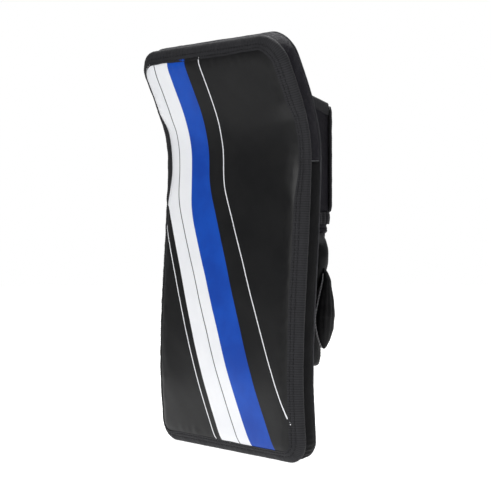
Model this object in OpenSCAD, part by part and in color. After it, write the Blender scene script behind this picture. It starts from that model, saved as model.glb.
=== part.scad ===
// Street-hockey goalie blocker for the right hand: a curved padded board with a bound
// edge, and a five-finger glove with a hook-and-loop cuff sewn to its back.
// Frame: +Z up the board, the struck face looks along -Y, the glove is on the +Y side and
// the thumb is on the +X side. The origin is the middle of the board's bottom edge.

/* [Board] */
// Height of the bound face
board_h = 330; // [300:5:360]
// Width of the bound face
board_w = 178; // [170:2:200]
// Thickness from the front of the bound edge to the back cover
board_t = 15.7; // [14:0.1:20]
// Corner radius at the top
corner_top = 23; // [18:1:30]
// Corner radius at the bottom
corner_bottom = 18; // [16:1:24]
// Height of the seam that splits the side wall
seam_z = 235.5; // [200:0.5:260]

/* [Face curve] */
// How far the lower belly stands forward
belly_depth = 3.3; // [0:0.1:6]
// Height of the belly
belly_z = 65; // [50:1:90]
// How far the waist falls back
waist_rise = 5.4; // [0:0.1:8]
// Height of the waist
waist_z = 240; // [220:1:260]
// How far the top edge reaches forward
flare_reach = 27; // [15:1:35]
// Forward lean of the top edge, as a slope
flare_slope = 0.48; // [0.3:0.01:0.6]

/* [Board layers] */
// How far the padded face stands in front of the bound edge
face_raise = 6; // [3:0.5:8]
// Width of the edge tape beside the raised face
tape_w = 9; // [7:0.5:12]
// Thickness of the edge tape
tape_t = 0.9; // [0.6:0.1:1.2]
// Depth of the bound edge
edge_t = 3.8; // [3:0.1:5]
// How far the bound edge stands outside the side wall
edge_out = 2.2; // [1.5:0.1:3]
// Thickness of the leather and nylon covers
cover_t = 1.2; // [0.8:0.1:1.6]
// Thickness of the foam under the face
padding_t = 3; // [2:0.1:4]
// Thickness of the plastic stiffener
plate_t = 1.5; // [1:0.1:2]

/* [Glove] */
// Half width of the hand
hand_half = 41; // [38:1:44]
// Height where the fingers start
finger_root_z = 109.5; // [100:0.5:115]
// Height of the top of the hand
hand_top_z = 160; // [155:1:165]
// Height of the top of the wrist sleeve
sleeve_top_z = 186; // [180:1:190]
// Distance of the palm's outside from the frame plane
palm_y = 70; // [66:1:74]
// Distance of the back of the hand from the frame plane
hand_back_y = 39.5; // [36:0.5:42]
// Wall of the padded leather panels
panel_t = 2.8; // [2:0.1:3.2]
// Outside radius of a finger
finger_r = 9.6; // [9:0.1:9.8]
// Distance between neighbouring fingers
finger_pitch = 20.4; // [20:0.1:20.5]
// Wall of a finger or the thumb
stall_t = 1.8; // [1.4:0.1:2.2]
// Play between two parts that turn
play = 0.6; // [0.5:0.1:0.8]

/* [Cuff] */
// Half width of the cuff
cuff_half = 46; // [44:1:48]
// Height of the bottom of the cuff panels
cuff_bottom_z = 195; // [190:1:200]
// Height of the cuff's top edge beside the board
cuff_top_z = 299.5; // [290:0.5:305]
// Fall of the cuff's top edge towards the palm side
cuff_fall = 0.3; // [0.2:0.01:0.35]
// Wall of the cuff panels
cuff_t = 4; // [3:0.5:4]
// Width of the tape on the cuff's edges
cuff_tape_w = 10; // [8:1:12]

/* [Hidden] */
$fn = 64;

// Colours
black_leather = [0.05, 0.05, 0.055];
black_nylon = [0.07, 0.07, 0.09];
black_tape = [0.12, 0.12, 0.13];
grey_foam = [0.45, 0.46, 0.48];
grey_cord = [0.62, 0.62, 0.64];
white_plate = [0.9, 0.9, 0.88];

// How far a cutter runs past what it cuts, and the least overlap of two shapes in one part
over = 1;
hair = 0.01;

// Depths of the layers below the front of the binding
cover_rear = tape_t + cover_t;
padding_rear = cover_rear + padding_t;
plate_rear = padding_rear + plate_t;
core_rear = board_t - cover_t;
wall_inset = edge_out + cover_t;
plate_inset = 8;
piping_r = 0.85;
piping_proud = 0.4;
edge_wall = 1.2;

// Hand padding and panels
pad_bottom_z = 64;
pad_top_y = 30;
pad_inset = 1;
pad_bevel = 10;
hand_bottom_z = finger_root_z + 2.5;
palm_patch_t = 1.4;
palm_patch_inset = 8;
sleeve_inset = 2;
sleeve_t = 4;
sleeve_r = 9;

// Finger centres, from the index to the little finger, and the heights of their tips
finger_x = [for (i = [0:3]) 31 - i * finger_pitch];
finger_tip_z = [67.5, 62, 66, 73];
finger_y = palm_y - finger_r;
finger_joint_share = 0.45;

// Thumb
thumb_x = 51.5;
thumb_y = 57.7;
thumb_r = 9;
thumb_root_r = 6.8;
thumb_root_z = 146;
thumb_joint_z = 113.5;
thumb_tip_z = 83.5;
thumb_full_z = 108;
thumb_cord = 1.2;
thumb_cord_gap = 0.15;
thumb_cord_end = 3;

// Hood over the thumb's root
web_r = 7;
web_out = 15;
web_depth = 14;
web_y = 49.5;
web_t = 2;

// Cuff planes on the palm side, from the inside out
under_y = palm_y;
patch_t = 1;
patch_gap = 0.2;
flap_t = 2.6;
flap_y = under_y + 2 * patch_t + patch_gap;
cuff_front_y = 21.2;
cuff_back_top = 292;
under_flap_x = 6;
flap_free_x = -38;
side_rear_y = flap_y - 0.2;
flap_edge = 0.8;
flap_swing = 1;
tape_lip = 0.5;
hem_rear_y = 72.5;
hem_t = 3;
hem_r = 5;
patch_inset = 13;
patch_side = 2;
under_top_z = cuff_top(under_y);
flap_bottom_z = cuff_bottom_z + flap_edge;
flap_top_z = cuff_top(flap_y + flap_t) - flap_edge;

// Pull tab on the flap's free edge
tab_reach = 13;
tab_half = 12;
tab_t = 1.6;
tab_gap = 0.4;
tab_z = (flap_bottom_z + flap_top_z) / 2;

// ---- Face curve ----

// Cubic through two heights with a given rise over the whole span at each end
function hermite(u, y0, y1, m0, m1) =
    (2 * u * u * u - 3 * u * u + 1) * y0 + (u * u * u - 2 * u * u + u) * m0
    + (3 * u * u - 2 * u * u * u) * y1 + (u * u * u - u * u) * m1;

function hermite_slope(u, y0, y1, m0, m1) =
    (6 * u * u - 6 * u) * y0 + (3 * u * u - 4 * u + 1) * m0
    + (6 * u - 6 * u * u) * y1 + (3 * u * u - 2 * u) * m1;

flare_h = board_h - waist_z;
function front_y(z) =
    z < belly_z ? hermite(z / belly_z, 0, -belly_depth, 0, 0)
    : z < waist_z ? hermite((z - belly_z) / (waist_z - belly_z), -belly_depth, waist_rise, 0, 0)
    : hermite((z - waist_z) / flare_h, waist_rise, -flare_reach, 0, -flare_slope * flare_h);

function front_slope(z) =
    z < belly_z ? hermite_slope(z / belly_z, 0, -belly_depth, 0, 0) / belly_z
    : z < waist_z
        ? hermite_slope((z - belly_z) / (waist_z - belly_z), -belly_depth, waist_rise, 0, 0)
            / (waist_z - belly_z)
    : hermite_slope((z - waist_z) / flare_h, waist_rise, -flare_reach, 0, -flare_slope * flare_h)
        / flare_h;

// Point in the YZ plane at a depth below the front of the binding
function layer_point(z, depth) =
    let (s = front_slope(z), n = norm([1, s])) [front_y(z) + depth / n, z - depth * s / n];

// The layers bend at the same stations, so two that meet share one face
station = board_h / 32;
function layer_at(z, depth) =
    let (i = floor(z / station), t = z / station - i)
        (1 - t) * layer_point(i * station, depth) + t * layer_point((i + 1) * station, depth);

function layer_line(depth, z0, z1) = [
    layer_at(z0, depth),
    for (i = [ceil(z0 / station + 0.01):floor(z1 / station - 0.01)])
        layer_point(i * station, depth),
    layer_at(z1, depth)
];

function reversed(list) = [for (i = [len(list) - 1:-1:0]) list[i]];

// ---- Shared shapes ----

// Carries a drawing in the YZ plane along X
module along_x(x0, x1) {
    translate([x0, 0, 0]) rotate([90, 0, 90]) linear_extrude(x1 - x0) children();
}

module block(x0, x1, y0, y1, z0, z1) {
    translate([x0, y0, z0]) cube([x1 - x0, y1 - y0, z1 - z0]);
}

// Sharp corner to take away from a round one; the corner is at the origin, +X and +Z outside
module corner_waste(r, front, rear) {
    difference() {
        translate([-r, front - 2 * over, -r])
            cube([r + 2 * over, rear - front + 4 * over, r + 2 * over]);
        translate([-r, front - 3 * over, -r]) rotate([-90, 0, 0])
            cylinder(r = r, h = rear - front + 6 * over);
    }
}

// Slab of the board between two depths, its edge drawn in by inset
module board_layer(front, rear, inset) {
    half = board_w / 2 - inset;
    lean = atan(flare_slope);
    top_z = board_h - inset * cos(lean);
    top_slope = front_slope(top_z);
    difference() {
        along_x(-half, half) polygon(concat(
            layer_line(front, inset, top_z),
            reversed(layer_line(rear, inset, top_z))
        ));
        for (side = [0, 1]) mirror([side, 0, 0]) {
            translate([half, front_y(top_z), top_z]) rotate([atan(-top_slope), 0, 0])
                corner_waste(corner_top - inset, front, rear);
            translate([half, 0, inset]) mirror([0, 0, 1])
                corner_waste(corner_bottom - inset, front, rear);
        }
    }
}

// Band of the board between two depths and two insets
module board_ring(front, rear, inset, width) {
    difference() {
        board_layer(front, rear, inset);
        board_layer(front - over, rear + over, inset + width);
    }
}

module rounded_rect(x0, x1, y0, y1, r) {
    translate([x0 + r, y0]) square([x1 - x0 - 2 * r, y1 - y0]);
    translate([x0, y0 + r]) square([x1 - x0, y1 - y0 - 2 * r]);
    for (x = [x0 + r, x1 - r], y = [y0 + r, y1 - r]) translate([x, y]) circle(r);
}

// ---- Board ----

// Leather tray over the raised padding, with a flange that runs under the edge tape
module face_cover() {
    color(black_leather) difference() {
        union() {
            board_layer(-face_raise, cover_rear, tape_w);
            board_layer(tape_t, cover_rear, edge_wall);
        }
        board_layer(cover_t - face_raise, cover_rear + over, tape_w + cover_t);
    }
}

module face_padding() {
    color(grey_foam) union() {
        board_layer(cover_t - face_raise, cover_rear, tape_w + cover_t);
        board_layer(cover_rear, padding_rear, wall_inset);
    }
}

module stiffener_plate() {
    color(white_plate) board_layer(padding_rear, plate_rear, plate_inset);
}

module foam_core() {
    color(grey_foam) board_layer(plate_rear, core_rear, wall_inset);
}

module back_cover() {
    color(black_nylon) board_layer(core_rear, board_t, wall_inset);
}

module side_wall() {
    board_ring(cover_rear, core_rear, edge_out, cover_t);
}

module side_wall_upper() {
    color(black_nylon) difference() {
        side_wall();
        block(-board_w, board_w, -board_h, board_h, -over, seam_z);
    }
}

module side_wall_lower() {
    color(black_leather) difference() {
        side_wall();
        block(-board_w, board_w, -board_h, board_h, seam_z, 2 * board_h);
    }
}

module rear_piping() {
    color(black_tape) board_ring(core_rear, board_t + piping_proud, wall_inset - 2 * piping_r,
        2 * piping_r);
}

// Tape folded over the bound edge, open where the covers run into it
module front_binding() {
    color(black_tape) difference() {
        board_ring(0, edge_t, 0, tape_w);
        board_layer(tape_t, edge_t - tape_t, edge_wall);
        board_layer(edge_t - tape_t - hair, edge_t + over, edge_out);
    }
}

// ---- Hand ----

// Padding between the board and the back of the hand and wrist
module hand_back_pad() {
    color(black_nylon) along_x(-hand_half + pad_inset, hand_half - pad_inset) polygon(concat(
        layer_line(board_t, pad_bottom_z, sleeve_top_z),
        [[pad_top_y, sleeve_top_z], [hand_back_y, hand_top_z],
         [hand_back_y, pad_bottom_z + pad_bevel], [hand_back_y - pad_bevel, pad_bottom_z]]
    ));
}

module glove_back() {
    color(black_nylon)
        block(-hand_half, hand_half, hand_back_y, hand_back_y + panel_t, hand_bottom_z, hand_top_z);
}

module palm_panel() {
    color(black_leather)
        block(-hand_half, hand_half, palm_y - panel_t, palm_y, hand_bottom_z, hand_top_z);
}

module palm_patch() {
    color(black_leather) translate([0, palm_y + palm_patch_t, 0]) rotate([90, 0, 0])
        linear_extrude(palm_patch_t)
            rounded_rect(-hand_half + palm_patch_inset, hand_half - palm_patch_inset,
                finger_root_z + palm_patch_inset, hand_top_z - palm_patch_inset, palm_patch_inset);
}

module hand_side(x0) {
    block(x0, x0 + panel_t, hand_back_y + panel_t, palm_y - panel_t, hand_bottom_z, hand_top_z);
}

// The window lets the thumb through
module hand_side_right() {
    color(black_leather) difference() {
        hand_side(hand_half - panel_t);
        block(hand_half - panel_t - over, hand_half + over, web_y + web_t, web_y + web_depth - web_t,
            thumb_root_z + over, hand_top_z - web_t);
    }
}

module hand_side_left() {
    color(black_leather) hand_side(-hand_half);
}

module finger_root_band() {
    color(black_leather) difference() {
        block(-hand_half, hand_half, hand_back_y, palm_y, finger_root_z, hand_bottom_z);
        for (x = finger_x) translate([x, finger_y, finger_root_z - over])
            cylinder(r = finger_r - stall_t, h = hand_bottom_z - finger_root_z + 2 * over);
    }
}

// Leather hood over the root of the thumb, open to the hand and to the thumb
module thumb_web() {
    color(black_leather) difference() {
        translate([0, 0, thumb_root_z + play]) linear_extrude(hand_top_z - thumb_root_z - play)
            intersection() {
                rounded_rect(hand_half - web_r * 2, hand_half + web_out, web_y, web_y + web_depth,
                    web_r - hair);
                translate([hand_half, 0]) square([web_out + over, 2 * web_y]);
            }
        block(hand_half - over, hand_half + web_out - web_t, web_y + web_t,
            web_y + web_depth - web_t, thumb_root_z - over, hand_top_z - web_t);
    }
}

// Gathered sleeve round the sides and palm side of the wrist
module wrist_sleeve() {
    sleeve_half = cuff_half - sleeve_inset;
    color(black_nylon) translate([0, 0, hand_top_z]) linear_extrude(sleeve_top_z - hand_top_z)
        difference() {
            rounded_rect(-sleeve_half, sleeve_half, 0, palm_y, sleeve_r);
            rounded_rect(-sleeve_half + sleeve_t, sleeve_half - sleeve_t, -sleeve_r,
                palm_y - sleeve_t, sleeve_r - sleeve_t);
            translate([-board_w, -over]) square([2 * board_w, pad_top_y + over]);
        }
}

module cuff_hem() {
    color(black_tape) translate([0, 0, sleeve_top_z]) linear_extrude(cuff_bottom_z - sleeve_top_z)
        difference() {
            rounded_rect(-cuff_half, cuff_half, cuff_front_y, hem_rear_y, hem_r);
            rounded_rect(-cuff_half + hem_t, cuff_half - hem_t, cuff_front_y + hem_t,
                hem_rear_y - hem_t, hem_r - hem_t / 2);
        }
}

// ---- Cuff ----

function cuff_top(y) = cuff_top_z - cuff_fall * (y - cuff_front_y);

module cuff_back() {
    color(black_nylon) block(-cuff_half + cuff_t, cuff_half - cuff_t, cuff_front_y,
        cuff_front_y + cuff_t, cuff_bottom_z, cuff_back_top);
}

module cuff_side(x0, rear) {
    along_x(x0, x0 + cuff_t) polygon([
        [cuff_front_y, cuff_bottom_z], [rear, cuff_bottom_z],
        [rear, cuff_top(rear)], [cuff_front_y, cuff_top(cuff_front_y)]
    ]);
}

module cuff_side_right() {
    color(black_nylon) cuff_side(cuff_half - cuff_t, side_rear_y);
}

module cuff_side_left() {
    color(black_nylon) cuff_side(-cuff_half, under_y - hem_t);
}

module cuff_under_flap() {
    color(black_nylon)
        block(-cuff_half, under_flap_x, under_y - hem_t, under_y, cuff_bottom_z, under_top_z);
}

module patch(x0, x1, y0, shrink) {
    block(x0, x1, y0, y0 + patch_t, cuff_bottom_z + patch_inset + shrink,
        under_top_z - patch_inset - shrink);
}

module loop_patch() {
    color(black_tape) patch(flap_free_x + patch_side, under_flap_x - 3 * patch_side, under_y, 0);
}

// Tape folded over the top edges of the two sides and the back
module cuff_top_binding() {
    color(black_tape) difference() {
        union() {
            cuff_top_band(cuff_half - cuff_t, side_rear_y - flap_swing);
            cuff_top_band(-cuff_half, under_y - hem_t);
            block(-cuff_half + cuff_t + tape_lip, cuff_half - cuff_t - tape_lip,
                cuff_front_y - tape_lip, cuff_front_y + cuff_t + tape_lip,
                cuff_back_top - cuff_tape_w, cuff_back_top + tape_lip);
        }
        cuff_side(cuff_half - cuff_t, side_rear_y + over);
        cuff_side(-cuff_half, under_y - hem_t + over);
        block(-cuff_half, cuff_half, cuff_front_y, cuff_front_y + cuff_t, 0, cuff_back_top);
    }
}

module cuff_top_band(x0, rear) {
    along_x(x0 - tape_lip, x0 + cuff_t + tape_lip) polygon([
        [cuff_front_y, cuff_top(cuff_front_y) - cuff_tape_w], [rear, cuff_top(rear) - cuff_tape_w],
        [rear, cuff_top(rear) + tape_lip], [cuff_front_y, cuff_top(cuff_front_y) + tape_lip]
    ]);
}

// ---- Flap, turning on a line at the cuff's right rear corner ----

module cuff_flap() {
    color(black_nylon)
        block(flap_free_x, cuff_half, flap_y, flap_y + flap_t, flap_bottom_z, flap_top_z);
}

module flap_binding() {
    color(black_tape) difference() {
        block(flap_free_x - flap_edge, cuff_half, flap_y, flap_y + flap_t + tape_lip,
            flap_bottom_z - flap_edge, flap_top_z + flap_edge);
        block(flap_free_x + cuff_tape_w, cuff_half + over, flap_y - over, flap_y + flap_t + over,
            flap_bottom_z + cuff_tape_w, flap_top_z - cuff_tape_w);
        block(flap_free_x, cuff_half + over, flap_y - over, flap_y + flap_t, flap_bottom_z,
            flap_top_z);
    }
}

module hook_patch() {
    color(black_tape)
        patch(flap_free_x + 2 * patch_side, under_flap_x - 4 * patch_side, flap_y - patch_t, patch_side);
}

module pull_tab() {
    color(black_tape) block(flap_free_x - flap_edge - tab_reach, flap_free_x - flap_edge,
        flap_y + tab_gap, flap_y + tab_gap + tab_t, tab_z - tab_half, tab_z + tab_half);
}

// ---- Fingers ----

function joint_z(i) = finger_root_z - (finger_root_z - finger_tip_z[i]) * finger_joint_share;

module finger_base(i) {
    top = finger_root_z - play;
    bottom = joint_z(i) + play / 2;
    color(black_leather) translate([finger_x[i], finger_y, bottom]) difference() {
        cylinder(r = finger_r, h = top - bottom);
        translate([0, 0, -over]) cylinder(r = finger_r - stall_t, h = top - bottom + 2 * over);
    }
}

module finger_tip(i) {
    length = joint_z(i) - play / 2 - finger_tip_z[i];
    color(black_leather) translate([finger_x[i], finger_y, finger_tip_z[i]]) difference() {
        round_end(finger_r, 0, length);
        round_end(finger_r - stall_t, stall_t, length + over);
    }
}

// Upright pin with a ball end at its foot
module round_end(r, foot, top) {
    translate([0, 0, foot + r]) sphere(r);
    translate([0, 0, foot + r]) cylinder(r = r, h = top - foot - r);
}

module index_base() { finger_base(0); }
module index_tip() { finger_tip(0); }
module middle_base() { finger_base(1); }
module middle_tip() { finger_tip(1); }
module ring_base() { finger_base(2); }
module ring_tip() { finger_tip(2); }
module little_base() { finger_base(3); }
module little_tip() { finger_tip(3); }

// ---- Thumb ----

// Radius of the thumb at a height: full at one height, narrower to the root and to the tip
function thumb_radius(z) =
    z > thumb_full_z
        ? thumb_root_r + (thumb_r - thumb_root_r)
            * cos(90 * (z - thumb_full_z) / (thumb_root_z - thumb_full_z))
        : thumb_r * sqrt(max(0, 1 - pow((thumb_full_z - z) / (thumb_full_z - thumb_tip_z), 2)));

function thumb_side(z0, z1, out, steps) =
    [for (i = [0:steps]) let (z = z0 + (z1 - z0) * i / steps) [thumb_radius(z) + out, z]];

module thumb_base() {
    bottom = thumb_joint_z + play / 2;
    side = thumb_side(bottom, thumb_root_z, 0, 6);
    color(black_leather) translate([thumb_x, thumb_y, 0]) rotate_extrude()
        polygon(concat(side, reversed([for (p = side) [p[0] - stall_t, p[1]]])));
}

module thumb_tip() {
    top = thumb_joint_z - play / 2;
    tip = [for (i = [0:8]) let (a = 90 * i / 8)
        [max(0, thumb_r * sin(a)), thumb_full_z - (thumb_full_z - thumb_tip_z) * cos(a)]];
    hollow = [for (p = tip) [max(0, p[0] * (1 - stall_t / thumb_r)),
        thumb_full_z - (thumb_full_z - p[1]) * (1 - stall_t / thumb_r)]];
    color(black_leather) translate([thumb_x, thumb_y, 0]) rotate_extrude() polygon(concat(
        tip, [[thumb_radius(top), top], [thumb_radius(top) - stall_t, top]], reversed(hollow)
    ));
}

// Cord along the front of the thumb
module thumb_piping(z0, z1, steps) {
    color(grey_cord) translate([0, thumb_y, 0])
        along_x(thumb_x - thumb_cord / 2, thumb_x + thumb_cord / 2) polygon(concat(
            [for (p = thumb_side(z0, z1, thumb_cord_gap, steps)) [-p[0], p[1]]],
            reversed([for (p = thumb_side(z0, z1, thumb_cord, steps)) [-p[0], p[1]]])
        ));
}

module thumb_piping_base() {
    thumb_piping(thumb_joint_z + play / 2, thumb_root_z - thumb_cord_end, 6);
}

module thumb_piping_tip() {
    thumb_piping(thumb_tip_z + thumb_cord_end, thumb_joint_z - play / 2, 8);
}

face_cover();
face_padding();
stiffener_plate();
foam_core();
back_cover();
side_wall_upper();
side_wall_lower();
rear_piping();
front_binding();
hand_back_pad();
glove_back();
palm_panel();
palm_patch();
hand_side_right();
hand_side_left();
finger_root_band();
thumb_web();
wrist_sleeve();
cuff_hem();
cuff_back();
cuff_side_right();
cuff_side_left();
cuff_under_flap();
loop_patch();
cuff_top_binding();
cuff_flap();
flap_binding();
hook_patch();
pull_tab();
index_base();
index_tip();
middle_base();
middle_tip();
ring_base();
ring_tip();
little_base();
little_tip();
thumb_base();
thumb_tip();
thumb_piping_base();
thumb_piping_tip();
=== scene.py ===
"""Street-hockey goalie blocker: the visible pieces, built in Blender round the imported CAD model."""

import math

import bmesh
import bpy
import numpy as np
from mathutils import Matrix, Vector

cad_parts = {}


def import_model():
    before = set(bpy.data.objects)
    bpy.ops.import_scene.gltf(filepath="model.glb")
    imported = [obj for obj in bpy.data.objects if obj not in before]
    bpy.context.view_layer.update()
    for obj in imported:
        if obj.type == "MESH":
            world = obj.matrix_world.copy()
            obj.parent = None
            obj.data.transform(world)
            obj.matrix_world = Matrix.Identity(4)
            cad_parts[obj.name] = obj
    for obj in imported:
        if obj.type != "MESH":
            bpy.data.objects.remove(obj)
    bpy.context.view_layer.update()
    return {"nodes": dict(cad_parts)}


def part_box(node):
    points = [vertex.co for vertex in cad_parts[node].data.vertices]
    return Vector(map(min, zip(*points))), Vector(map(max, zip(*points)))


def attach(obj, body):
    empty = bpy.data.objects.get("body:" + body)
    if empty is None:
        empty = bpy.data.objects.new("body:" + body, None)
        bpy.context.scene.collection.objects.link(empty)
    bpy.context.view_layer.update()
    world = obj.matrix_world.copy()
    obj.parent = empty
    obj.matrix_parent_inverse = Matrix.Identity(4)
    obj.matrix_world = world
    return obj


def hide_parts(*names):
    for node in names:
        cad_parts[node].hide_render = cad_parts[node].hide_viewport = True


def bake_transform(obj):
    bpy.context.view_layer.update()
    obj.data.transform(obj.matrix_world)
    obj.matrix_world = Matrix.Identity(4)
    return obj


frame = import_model()

# ---- Sizes that the CAD model also has, in millimetres ----

MM = 0.001
BOARD_H, BOARD_HALF = 330.0, 89.0
CORNER_TOP, CORNER_BOTTOM = 23.0, 18.0
BELLY_DEPTH, BELLY_Z, WAIST_RISE, WAIST_Z = 3.3, 65.0, 5.4, 240.0
FLARE_REACH, FLARE_SLOPE = 27.0, 0.48
SEAM_Z = 235.5
TAPE_W, TAPE_T, COVER_T = 9.0, 0.9, 1.2
BOARD_T = 15.7
HAND_BOTTOM_Z, PANEL_T = 109.5, 2.8
FINGERS = {"index": (31.0, 67.5), "middle": (10.6, 62.0), "ring": (-9.8, 66.0), "little": (-30.2, 73.0)}
FINGER_R, STALL_T, JOINT_SHARE = 9.6, 1.8, 0.45
THUMB_X, THUMB_Y, THUMB_JOINT_Z, THUMB_FULL_Z, THUMB_TIP_Z = 51.5, 57.7, 113.5, 108.0, 83.5
CUFF_TOP_Z, CUFF_FALL, CUFF_FRONT_Y, CUFF_TAPE_W = 299.5, 0.3, 21.2, 10.0
RIB = 1.9

# ---- Small helpers ----


def smooth(a, b, x):
    """0 below a, 1 above b, and a smooth step between."""
    t = np.clip((np.asarray(x, float) - a) / (b - a), 0, 1)
    return t * t * (3 - 2 * t)


def bump(x, centre, width):
    return np.exp(-(((np.asarray(x, float) - centre) / width) ** 2))


def waves(p, size, seed, count=10):
    """Smooth unevenness from -1 to 1 with features of a size, the same on every run."""
    rng = np.random.default_rng(seed)
    k = rng.normal(size=(count, 3))
    k *= (2 * math.pi / size * rng.uniform(0.6, 1.4, count) / np.linalg.norm(k, axis=1))[:, None]
    return np.sin(np.asarray(p, float) @ k.T + rng.uniform(0, 6.28, count)).sum(-1) / math.sqrt(count) / 1.4


def unit(v):
    return v / np.maximum(np.linalg.norm(v, axis=-1, keepdims=True), 1e-9)


def grid_normals(p, wrap=False):
    along = np.roll(p, -1, 0) - np.roll(p, 1, 0) if wrap else np.gradient(p, axis=0)
    return unit(np.cross(along, np.gradient(p, axis=1)))


def outward(p, centre, wrap=False):
    """The grid's normals, each turned away from a centre."""
    n = grid_normals(p, wrap)
    return n * np.sign(((p - centre) * n).sum(-1))[..., None]


def angles(count):
    return np.arange(count) * 2 * math.pi / count


def turned(a, b):
    """The turn from b to a, between half a turn back and half a turn on."""
    return (a - b + math.pi) % (2 * math.pi) - math.pi


# ---- The board's curved surface ----


def hermite(u, y0, y1, m0, m1):
    y = (2 * u**3 - 3 * u**2 + 1) * y0 + (u**3 - 2 * u**2 + u) * m0
    y += (3 * u**2 - 2 * u**3) * y1 + (u**3 - u**2) * m1
    slope = (6 * u**2 - 6 * u) * y0 + (3 * u**2 - 4 * u + 1) * m0
    slope += (6 * u - 6 * u**2) * y1 + (3 * u**2 - 2 * u) * m1
    return y, slope


def front(z):
    """Distance and slope of the bound face's front at a height."""
    z = np.asarray(z, float)
    y, s = np.zeros_like(z), np.zeros_like(z)
    flare_h = BOARD_H - WAIST_Z
    spans = (
        (-1e9, BELLY_Z, 0.0, BELLY_Z, 0.0, -BELLY_DEPTH, 0.0),
        (BELLY_Z, WAIST_Z, BELLY_Z, WAIST_Z, -BELLY_DEPTH, WAIST_RISE, 0.0),
        (WAIST_Z, 1e9, WAIST_Z, BOARD_H, WAIST_RISE, -FLARE_REACH, -FLARE_SLOPE * flare_h),
    )
    for low, high, z0, z1, y0, y1, m1 in spans:
        on = (z >= low) & (z < high)
        yy, ss = hermite((z[on] - z0) / (z1 - z0), y0, y1, 0.0, m1)
        y[on], s[on] = yy, ss / (z1 - z0)
    return y, s


ARC_Z = np.linspace(-12, BOARD_H + 12, 3000)
ARC_T = np.concatenate([[0], np.cumsum(np.hypot(np.diff(ARC_Z), np.diff(front(ARC_Z)[0])))])
ARC_T -= np.interp(0, ARC_Z, ARC_T)
BOARD_L = float(np.interp(BOARD_H, ARC_Z, ARC_T))


def height_at(t):
    return np.interp(t, ARC_T, ARC_Z)


def length_at(z):
    return float(np.interp(z, ARC_Z, ARC_T))


def on_board(x, t, depth):
    """Point at a width, a length along the curve and a depth behind the binding's front."""
    x, t, depth = np.broadcast_arrays(np.asarray(x, float), t, depth)
    z = height_at(t)
    y, s = front(z)
    n = np.sqrt(1 + s * s)
    return np.stack([x, y + depth / n, z - depth * s / n], -1)


def outline(step):
    """The board's outline as x, t and outward nx, nt, from the bottom's middle up the right side and
    round."""
    rows = []

    def line(ax, at, bx, bt, nx, nt):
        n = max(1, round(math.hypot(bx - ax, bt - at) / step))
        for i in range(n):
            rows.append((ax + (bx - ax) * i / n, at + (bt - at) * i / n, nx, nt))

    def corner(cx, ct, r, a0):
        n = max(6, round(r * math.pi / 2 / step))
        for i in range(n):
            a = math.radians(a0 + 90 * i / n)
            rows.append((cx + r * math.cos(a), ct + r * math.sin(a), math.cos(a), math.sin(a)))

    h, top, rt, rb = BOARD_HALF, BOARD_L, CORNER_TOP, CORNER_BOTTOM
    line(0, 0, h - rb, 0, 0, -1)
    corner(h - rb, rb, rb, -90)
    line(h, rb, h, top - rt, 1, 0)
    corner(h - rt, top - rt, rt, 0)
    line(h - rt, top, -(h - rt), top, 0, 1)
    corner(-(h - rt), top - rt, rt, 90)
    line(-h, top - rt, -h, rb, -1, 0)
    corner(-(h - rb), rb, rb, 180)
    line(-(h - rb), 0, 0, 0, 0, -1)
    return np.array(rows)


def path_length(p, wrap=False):
    q = np.concatenate([p, p[:1]]) if wrap else p
    return np.concatenate([[0], np.cumsum(np.linalg.norm(np.diff(q, axis=0), axis=1))])


def sweep(path, insets, depths):
    """A grid from a profile of insets and depths, carried along the outline. Both may vary by point."""
    i, d = np.atleast_2d(insets), np.atleast_2d(depths)
    x = path[:, 0:1] - path[:, 2:3] * i
    t = path[:, 1:2] - path[:, 3:4] * i
    return on_board(x, t, np.broadcast_to(d, x.shape))


def edge_distance(x, t):
    """How far a point of the face is inside the outline."""
    out = np.minimum(np.minimum(BOARD_HALF - np.abs(x), t), BOARD_L - t)
    for r, side in ((CORNER_TOP, BOARD_L - t), (CORNER_BOTTOM, t)):
        dx, dt = np.abs(x) - (BOARD_HALF - r), r - side
        out = np.where((dx > 0) & (dt > 0), r - np.hypot(dx, dt), out)
    return out


def face_rise(z):
    """How far the tape's inner edge stands forward: it lies flatter at the waist."""
    return 6.0 - 4.4 * smooth(198, 234, z) * (1 - smooth(264, 284, z))


# ---- Mesh building ----


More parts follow.
